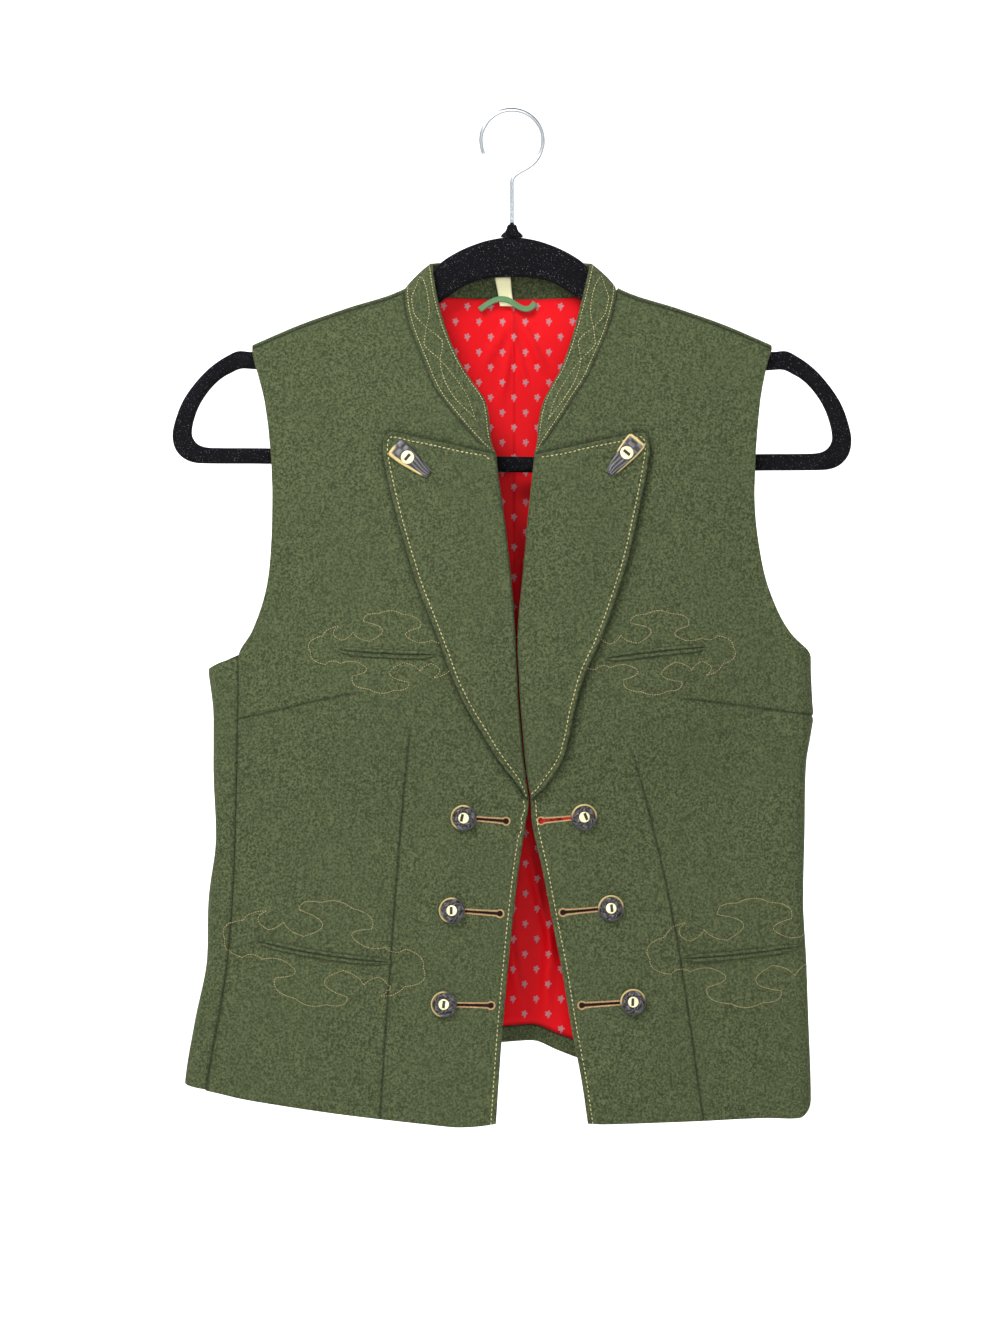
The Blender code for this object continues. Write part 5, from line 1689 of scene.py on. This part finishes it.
def slotted_disc(name, centre, axes, radius, slot_half, slot):
    """A low domed disc with a straight slot, tilted and a little off the middle."""
    aside, tilt = slot
    rim_radii = [radius * 0.94, radius, radius, radius * 0.93]
    radii = np.concatenate([rim_radii, np.linspace(radius * 0.86, radius * 0.06, 14)])
    angle = np.arange(64) / 64 * 2 * math.pi - math.radians(tilt)
    heights, marks = [], []
    for n, r in enumerate(radii):
        along, across_slot = r * np.cos(angle), r * np.sin(angle)
        off = np.abs(across_slot - aside * radius)
        inside = ease((slot_half[0] - np.abs(along)) / 0.25 + 0.5)
        inside = inside * ease((slot_half[1] - off) / 0.2 + 0.5)
        top = (0.0, 0.15, 0.75, 1.0)[n] if n < 4 else 1.05 + 0.1 * (1 - (r / radius) ** 2)
        heights.append(top - 0.55 * inside * (n >= 4))
        # The slot is marked for painted shade.
        marks.append(inside * (n >= 4))
    return round_shell(name, centre, axes, radii, heights, {"painted_shade": marks}, disc_cream)


DISC_RADIUS = 3.5
DISC_FOOT = 2.3
DISC_SLOT_HALF = (2.5, 0.95)
button_rings = np.array(
    [7.4, 8.2, 8.5, 8.5, 8.2, 7.9, 7.5, 7.1, 6.7, 6.3, 5.9, 5.5, 5.1, 4.7, 4.3, 3.9, 3.5, 3.2]
)
for number, button in enumerate(BUTTONS):
    centre, axes = seat(*button["at"], LAID_ON)
    angle = np.arange(64) / 64 * 2 * math.pi
    outer_way = math.radians(150 if button["at"][0] < 0 else 60) + 0.15 * number
    heights, painted_shades, rims = [], [], []
    for n, radius in enumerate(button_rings):
        base = (0.0, 0.3, 1.0, 2.2, 3.1, 3.3)[n] if n < 6 else 2.55 + 0.25 * math.cos((radius - 5.2) * 1.6)
        bent = angle + 0.22 * np.sin(3 * angle + 1.3 * radius + 2 * number)
        strokes = np.sin(9 * bent + 0.9 * radius + number)
        carving = strokes * (0.45 + 0.55 * np.cos(5 * angle - 2.1 * radius + 3 * number))
        inside = ease((7.7 - radius) / 0.6) * ease((radius - 3.2) / 0.5)
        lip = ease((radius - 7.3) / 0.4) * (n >= 3)
        heights.append(base + 0.8 * carving * inside)
        # Painted shade in the carving's hollows; the plain face outside the carving a steady mid value.
        painted_shades.append(np.clip(0.5 - 0.9 * carving, 0, 1) * inside + 0.35 * (1 - inside))
        rims.append(lip * ease((np.cos(angle - outer_way) + 0.15) / 0.5))
    marks = {"painted_shade": painted_shades, "rim": rims}
    shown = round_shell(button["name"] + "_horn", centre, axes, button_rings, heights, marks, horn)
    settle(shown, "horn", button["name"])
    name, foot = button["name"] + "_disc", centre + axes[2] * DISC_FOOT
    disc = slotted_disc(name, foot, axes, DISC_RADIUS, DISC_SLOT_HALF, button["slot"])
    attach(disc, body)

# The lapel tabs. The same horn look, cut to a long leaf shape and held by a cream disc stud.
TABS = (
    {
        "which": "right",
        "wide_end": (-76.6, -222.8),
        "tip": (-53.6, -241.6),
        "rims": ((-1, 0.64, 0.93),),
        "end_rim": 0.3,
    },
    {
        "which": "left",
        "wide_end": (81.6, -218.2),
        "tip": (62.6, -241.0),
        "rims": ((1, 0.80, 0.92), (-1, 0.80, 0.55)),
        "end_rim": 1.6,
    },
)
TAB_OUTLINE = table(
    "along half_width",
    ((0, 5.4), (0.03, 6.3), (0.1, 6.7), (0.35, 6.3), (0.6, 5.2), (0.82, 4.0), (0.94, 3.2), (1, 2.3)),
)
TAB_WALL = 2.0
TAB_GAP = 0.3
STUD_PLACE = 0.4


def on_lapel(which, across, up):
    """How far out the top of the lapel lies at places on the front."""
    roll = smooth(LAPELS["edge_up"], LAPELS[which + "_roll"], up)
    edge = smooth(LAPELS["edge_up"], LAPELS[which + "_edge"], up)
    share = np.clip((across - roll) / (edge - roll), 0, 1)
    return lapel_lift(share) + LAPEL_WALL


for tab in TABS:
    start, end = np.array(tab["wide_end"]), np.array(tab["tip"])
    length = np.linalg.norm(end - start)
    heading = (end - start) / length
    side = np.array([-heading[1], heading[0]])
    t = stations(length, 0.5)[:, None]
    spread = np.sin(np.linspace(-1, 1, 45) * math.pi / 2)
    half = smooth(TAB_OUTLINE["along"], TAB_OUTLINE["half_width"], t)
    spot = start + (t * length)[..., None] * heading + (half * spread)[..., None] * side
    across, up = spot[..., 0], spot[..., 1]
    base = on_lapel(tab["which"], across, up) + TAB_GAP
    streaks = np.sin(spread * 13 + 1.6 * np.sin(t * 9)) * ease((t - 0.5) / 0.08)
    knobs = np.cos(t * 34) * np.cos(spread * 4.2 + 0.6) * ease((0.3 - t) / 0.08)
    high = TAB_WALL - 0.7 * spread**4 + 0.16 * streaks + 0.32 * knobs
    outer = cloth(FRONT, across, up, base + high)
    drop, sunk, channel = edge_form(outer, (0, 0, 0, 0), TAB_WALL * 0.8)
    rim = ease((0.075 - t) / 0.03) * ease((tab["end_rim"] - spread) / 0.5)
    for way, inner_side, until in tab["rims"]:
        rim = np.maximum(rim, ease((spread * way - inner_side) / 0.1) * ease((until - t) / 0.1))
    # Painted shade in the low parts of the streaks and knobs.
    leaf = make_shell(
        f"lapel_tab_{tab['which']}_horn",
        cloth(FRONT, across, up, base + high - drop),
        cloth(FRONT, across, up, base + np.minimum(drop, TAB_WALL * 0.4)),
        horn,
        painted_shade=np.clip(0.45 - 0.4 * streaks - 0.9 * knobs, 0, 1),
    )
    hidden = (rim.shape[0] - 2) * (rim.shape[1] - 2)
    values = np.concatenate([rim.reshape(-1), np.zeros(hidden)])
    leaf.data.attributes.new("rim", "FLOAT", "POINT").data.foreach_set("value", values)
    settle(leaf, "horn", f"lapel_tab_{tab['which']}")
    across, up = start + (end - start) * STUD_PLACE
    out = float(on_lapel(tab["which"], across, up)) + TAB_GAP + TAB_WALL - 0.15
    centre, axes = seat(across, up, out)
    slope = math.degrees(math.atan2(side[1], side[0]))
    stud = slotted_disc(f"tab_stud_{tab['which']}_disc", centre, axes, 4.3, (2.6, 1.0), (0.0, slope))
    settle(stud, "brass", f"tab_stud_{tab['which']}")

# The label and the hanging loop. A blank woven label and a strip of green ribbed tape, both
# caught in the collar seam inside the neck.
LABEL = table("height left right", ((-127.0, -8.0, 1.4), (-118.0, -9.4, 0.0), (-107.5, -11.6, -0.9)))
LABEL_Y = 11.0
label_weave = Finish("label_weave", roughness=0.7, sheen_weight=0.2)
place = label_weave.places()
weave = label_weave.noise(label_weave.stretched(place, (1.0, 1.0, 6.0)), 900.0, 2.0)
label_weave.use("Base Color", label_weave.mix(weave, (0.95, 0.90, 0.48), (0.99, 0.97, 0.66)))
label_weave.bump(weave, 0.4, 0.0003)
t = np.linspace(0, 1, 26)[:, None]
height = LABEL["height"][0] + (LABEL["height"][-1] - LABEL["height"][0]) * t
left = smooth(LABEL["height"], LABEL["left"], height)
right = smooth(LABEL["height"], LABEL["right"], height)
x = left + (right - left) * np.linspace(0, 1, 13)
y = LABEL_Y + 0.35 * np.sin(t * 5.0) * np.cos(np.linspace(-1, 1, 13) * 1.4)
outer = np.stack([x, y, np.broadcast_to(height, x.shape)], -1)
label = make_shell("neck_label_weave", outer, outer + (0, 0.6, 0), label_weave)
settle(label, "label", "neck_label")

LOOP = table(
    "x z y",
    (
        (-21.5, -129.6, 9.9),
        (-17.5, -126.6, 9.7),
        (-13.0, -123.9, 9.5),
        (-8.0, -122.4, 9.2),
        (-3.0, -123.0, 9.1),
        (1.5, -125.4, 9.2),
        (5.5, -128.0, 9.5),
        (9.5, -129.0, 9.7),
        (12.8, -127.8, 9.8),
        (15.4, -124.6, 9.9),
    ),
)
tape = Finish("ribbed_tape", roughness=0.6, specular_ior_level=0.25, sheen_weight=0.1)
# Painted shade: the grooves between the ribs are darker.
rib_groove_shade = tape.attribute("painted_shade")
tape.use("Base Color", tape.mix(rib_groove_shade, (0.13, 0.27, 0.12), (0.05, 0.12, 0.05)))
t = np.linspace(0, len(LOOP["x"]) - 1, 120)
path = np.stack([by_row(LOOP["x"], t), by_row(LOOP["y"], t), by_row(LOOP["z"], t)], -1)
heading = np.gradient(path, axis=0)
heading[:, 1] = 0
heading /= np.linalg.norm(heading, axis=-1, keepdims=True)
upward = np.stack([-heading[:, 2], heading[:, 1], heading[:, 0]], -1)
spread = np.linspace(-1, 1, 17)
outer = path[:, None] + upward[:, None] * (spread * 1.9)[None, :, None]
rib = (0.5 + 0.5 * np.cos(spread * 15)) * np.ones(len(path))[:, None]
outer = outer - np.array([0, 1, 0]) * (0.25 * (1 - rib) + 0.35)[..., None]
# Painted shade in the grooves between the ribs.
loop = make_shell("hanging_loop_tape", outer, outer + (0, 0.8, 0), tape, painted_shade=rib)
settle(loop, "tape", "hanging_loop")

# The hanger. A flat plastic hanger in one closed loop with round ends, flocked black all over,
# with an oval boss under a plated wire hook.
HUMP = (
    (0, -82.5, 0, -108.9),
    (14.5, -84.3, 14.0, -109.6),
    (27.7, -88.5, 26.0, -112.4),
    (38.0, -93.4, 35.0, -117.0),
    (46.8, -99.3, 43.0, -122.4),
    (51.3, -104.8, 48.0, -126.2),
    (57.6, -115.0, 54.5, -130.8),
    (63.5, -121.4, 61.5, -133.6),
    (70.0, -123.6, 68.5, -135.6),
)
END = (
    (179.5, -157.6, 177.0, -169.4),
    (189.4, -161.7, 185.5, -172.4),
    (199.3, -168.6, 192.5, -176.6),
    (209.2, -178.9, 200.0, -184.2),
    (217.0, -190.1, 206.3, -194.0),
    (222.0, -202.5, 210.2, -204.8),
    (224.2, -213.5, 211.2, -212.2),
    (221.8, -223.3, 208.8, -217.8),
    (215.2, -229.6, 204.4, -220.6),
    (205.0, -232.0, 197.0, -221.6),
    (160.0, -232.4, 160.0, -221.9),
    (80.0, -236.0, 80.0, -225.6),
    (0.0, -237.8, 0.0, -227.4),
)
ARM = {"starts": 80.0, "ends": 172.0, "rows": 8, "tall": 11.8, "crown": 2.45}
HANGER_HALF = 2.7
DEEP_END = 1.06
DEEP_FROM = -158.0


def hanger_outline():
    """Outer and inner outline of the whole loop, smooth between its rows."""
    arms = []
    for reach in np.linspace(ARM["starts"], ARM["ends"], ARM["rows"]):
        top = float(shoulder_top(reach)) - ROUND + ARM["crown"]
        slope = float(shoulder_top(reach + 1) - shoulder_top(reach - 1)) / 2
        arms.append((reach, top, reach + slope * ARM["tall"], top - ARM["tall"]))
    half = np.array([*HUMP, *arms, *END], float)
    other = half[-2:0:-1] * (-1, 1, -1, 1)
    for column in (1, 3):
        low = np.minimum(half[:, column] - DEEP_FROM, 0)
        half[:, column] += low * (DEEP_END - 1) * np.clip(half[:, 0] / 150, 0, 1)
    loop = np.concatenate([half, other])
    count = len(loop)
    loop = np.concatenate([loop[-3:], loop, loop[:4]])
    step = np.linalg.norm(np.diff(loop[:, :2], axis=0), axis=-1)
    run = np.concatenate([[0], np.cumsum(step)])
    at = np.linspace(run[3], run[3 + count], 420)[:-1]
    return read_line(run, loop, at)


def loop_mesh(name, rings, closed):
    """A skin through rings of points, closed on itself or capped at both ends."""
    count, sides = rings.shape[:2]
    faces = ring_faces(count, sides, closed)
    if not closed:
        faces.append(tuple(range(sides)))
        faces.append(tuple(range((count - 1) * sides, count * sides)))
    mesh = bpy.data.meshes.new(name)
    mesh.from_pydata((rings.reshape(-1, 3) * MM).tolist(), [], faces)
    face_outward(mesh)
    mesh.shade_smooth()
    return mesh


flock = Finish(
    "black_flock",
    roughness=0.95,
    specular_ior_level=0.15,
    sheen_weight=0.06,
    sheen_roughness=0.35,
    sheen_tint=(0.5, 0.52, 0.6, 1),
)
place = flock.places()
lint = flock.noise(place, 1100.0, 2.0, 0.5)
patches = flock.noise(place, 60.0, 3.0, 0.5)
colour = flock.mix(lint.between(0.62, 0.72) * 0.7, (0.0016, 0.0016, 0.0028), (0.13, 0.13, 0.14))
colour = flock.mix(patches.between(0.5, 0.8) * 0.4, colour, (0.007, 0.007, 0.010))
flock.use("Base Color", colour)
flock.bump(flock.noise(place, 2600.0, 2.0), 0.5, 0.0004)

outline = hanger_outline()
outer_line = np.stack([outline[:, 0], np.zeros(len(outline)), outline[:, 1]], -1)
inner_line = np.stack([outline[:, 2], np.zeros(len(outline)), outline[:, 3]], -1)
bar_wide = np.linalg.norm(inner_line - outer_line, axis=-1, keepdims=True)
inward = (inner_line - outer_line) / bar_wide
turn = np.arange(20) / 20 * 2 * math.pi
# A rounded bar section: a superellipse, flatter on its faces than an oval
wide = np.sign(np.cos(turn)) * np.abs(np.cos(turn)) ** 0.62
thick = np.sign(np.sin(turn)) * np.abs(np.sin(turn)) ** 0.72
middle = (outer_line + inner_line)[:, None] / 2
rings = (
    middle
    + inward[:, None] * (bar_wide[:, None] / 2 * wide[None, :, None])
    + np.array([0, HANGER_HALF, 0]) * thick[None, :, None]
)
hanger = make_piece("hanger_flocked_body", loop_mesh("hanger_flocked_body", rings, True), flock)
settle(hanger, "flock", "hanger_body")

BOSS_PROFILE = (
    (7.3, 2.9, -82.6),
    (7.2, 2.9, -81.4),
    (6.2, 2.9, -80.2),
    (4.5, 2.8, -78.8),
    (3.6, 2.7, -77.0),
    (3.3, 2.6, -75.6),
    (2.9, 2.5, -74.6),
    (1.9, 1.8, -74.2),
)
turn = np.arange(28) / 28 * 2 * math.pi
rings = np.array(
    [
        np.stack([wide * np.cos(turn), thick * np.sin(turn), np.full(28, height)], -1)
        for wide, thick, height in BOSS_PROFILE
    ]
)
boss = make_piece("hanger_flocked_boss", loop_mesh("hanger_flocked_boss", rings, False), flock)
settle(boss, "flock", "hanger_boss")

WIRE = 1.5
LOOP_RADIUS = 20.5
STEM_FOOT = -74.1
STEM_TOP = -47.0
BEND_HANDLE = 7.0
LOOP_FROM = math.radians(-50)
LOOP_TO = math.radians(205)
loop_centre = np.array([0, 0, WIRE - LOOP_RADIUS])


def loop_point(angle):
    """A place on the middle of the wire's round loop."""
    return loop_centre + LOOP_RADIUS * np.array([math.cos(angle), 0, math.sin(angle)])


def bend_point(t):
    """The stem's bend into the loop, a cubic between two headings."""
    start = np.array([0, 0, STEM_TOP])
    end = loop_point(LOOP_FROM)
    out = np.array([-math.sin(LOOP_FROM), 0, math.cos(LOOP_FROM)])
    first = start + np.array([0, 0, BEND_HANDLE])
    second = end - out * BEND_HANDLE
    return (1 - t) ** 3 * start + 3 * (1 - t) ** 2 * t * first + 3 * (1 - t) * t**2 * second + t**3 * end


wire = [np.array([0, 0, z]) for z in np.linspace(STEM_FOOT, STEM_TOP, 8)[:-1]]
wire += [bend_point(t) for t in np.linspace(0, 1, 20)]
wire += [loop_point(angle) for angle in np.linspace(LOOP_FROM, LOOP_TO, 80)[1:]]
wire = np.array(wire)
heading = np.gradient(wire, axis=0)
heading /= np.linalg.norm(heading, axis=-1, keepdims=True)
sideways = np.stack([heading[:, 2], np.zeros(len(wire)), -heading[:, 0]], -1)
turn = (np.arange(20) / 20 * 2 * math.pi)[:, None]
rings = wire[:, None] + WIRE * (np.cos(turn) * sideways[:, None] + np.sin(turn) * (0, 1, 0))
steel = Finish("hook_plate", metallic=1.0, roughness=0.16)
worn = steel.noise(steel.places(), 300.0, 3.0)
steel.use("Base Color", steel.mix(worn.between(0.5, 0.8) * 0.3, (0.46, 0.49, 0.52), (0.30, 0.31, 0.33)))
steel.use("Roughness", 0.14 + worn * 0.12)
hook = make_piece("hanger_wire_hook", loop_mesh("hanger_wire_hook", rings, False), steel)
settle(hook, "hook_steel", "hanger_hook")

# Loose threads. Ends of the overcast seams that stick out at the armholes.
thread_green = thread_finish("loose_green_thread", (0.10, 0.12, 0.06), (0.03, 0.04, 0.02))
THREADS = (
    {"at": (-172.0, -344.0), "long": 7.0, "turn": 2.6, "curl": 2.2},
    {"at": (-179.5, -357.5), "long": 6.0, "turn": 3.0, "curl": -1.8},
    {"at": (158.6, -246.0), "long": 6.5, "turn": -0.3, "curl": 2.6},
    {"at": (187.5, -352.0), "long": 8.0, "turn": -0.9, "curl": 1.6},
    {"at": (184.0, -345.0), "long": 5.0, "turn": 0.2, "curl": -2.4},
)
strands = []
for loose in THREADS:
    s = np.linspace(0, 1, 16)
    angle = loose["turn"] + loose["curl"] * s
    step = loose["long"] / 15
    x = loose["at"][0] + np.concatenate([[0], np.cumsum(np.cos(angle[1:]) * step)])
    z = loose["at"][1] + np.concatenate([[0], np.cumsum(np.sin(angle[1:]) * step)])
    y = -11.5 - 1.5 * s
    line = np.stack([x, y, z], -1)
    heading = np.gradient(line, axis=0)
    heading /= np.linalg.norm(heading, axis=-1, keepdims=True)
    first = np.cross(heading, (0, 1, 0))
    first /= np.linalg.norm(first, axis=-1, keepdims=True)
    second = np.cross(heading, first)
    turn = (np.arange(6) / 6 * 2 * math.pi)[:, None]
    strands.append(line[:, None] + 0.17 * (np.cos(turn) * first[:, None] + np.sin(turn) * second[:, None]))
for number, strand in enumerate(strands):
    name = f"loose_thread_{number}"
    thread = make_piece(name, loop_mesh(name, strand, False), thread_green)
    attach(thread, body)
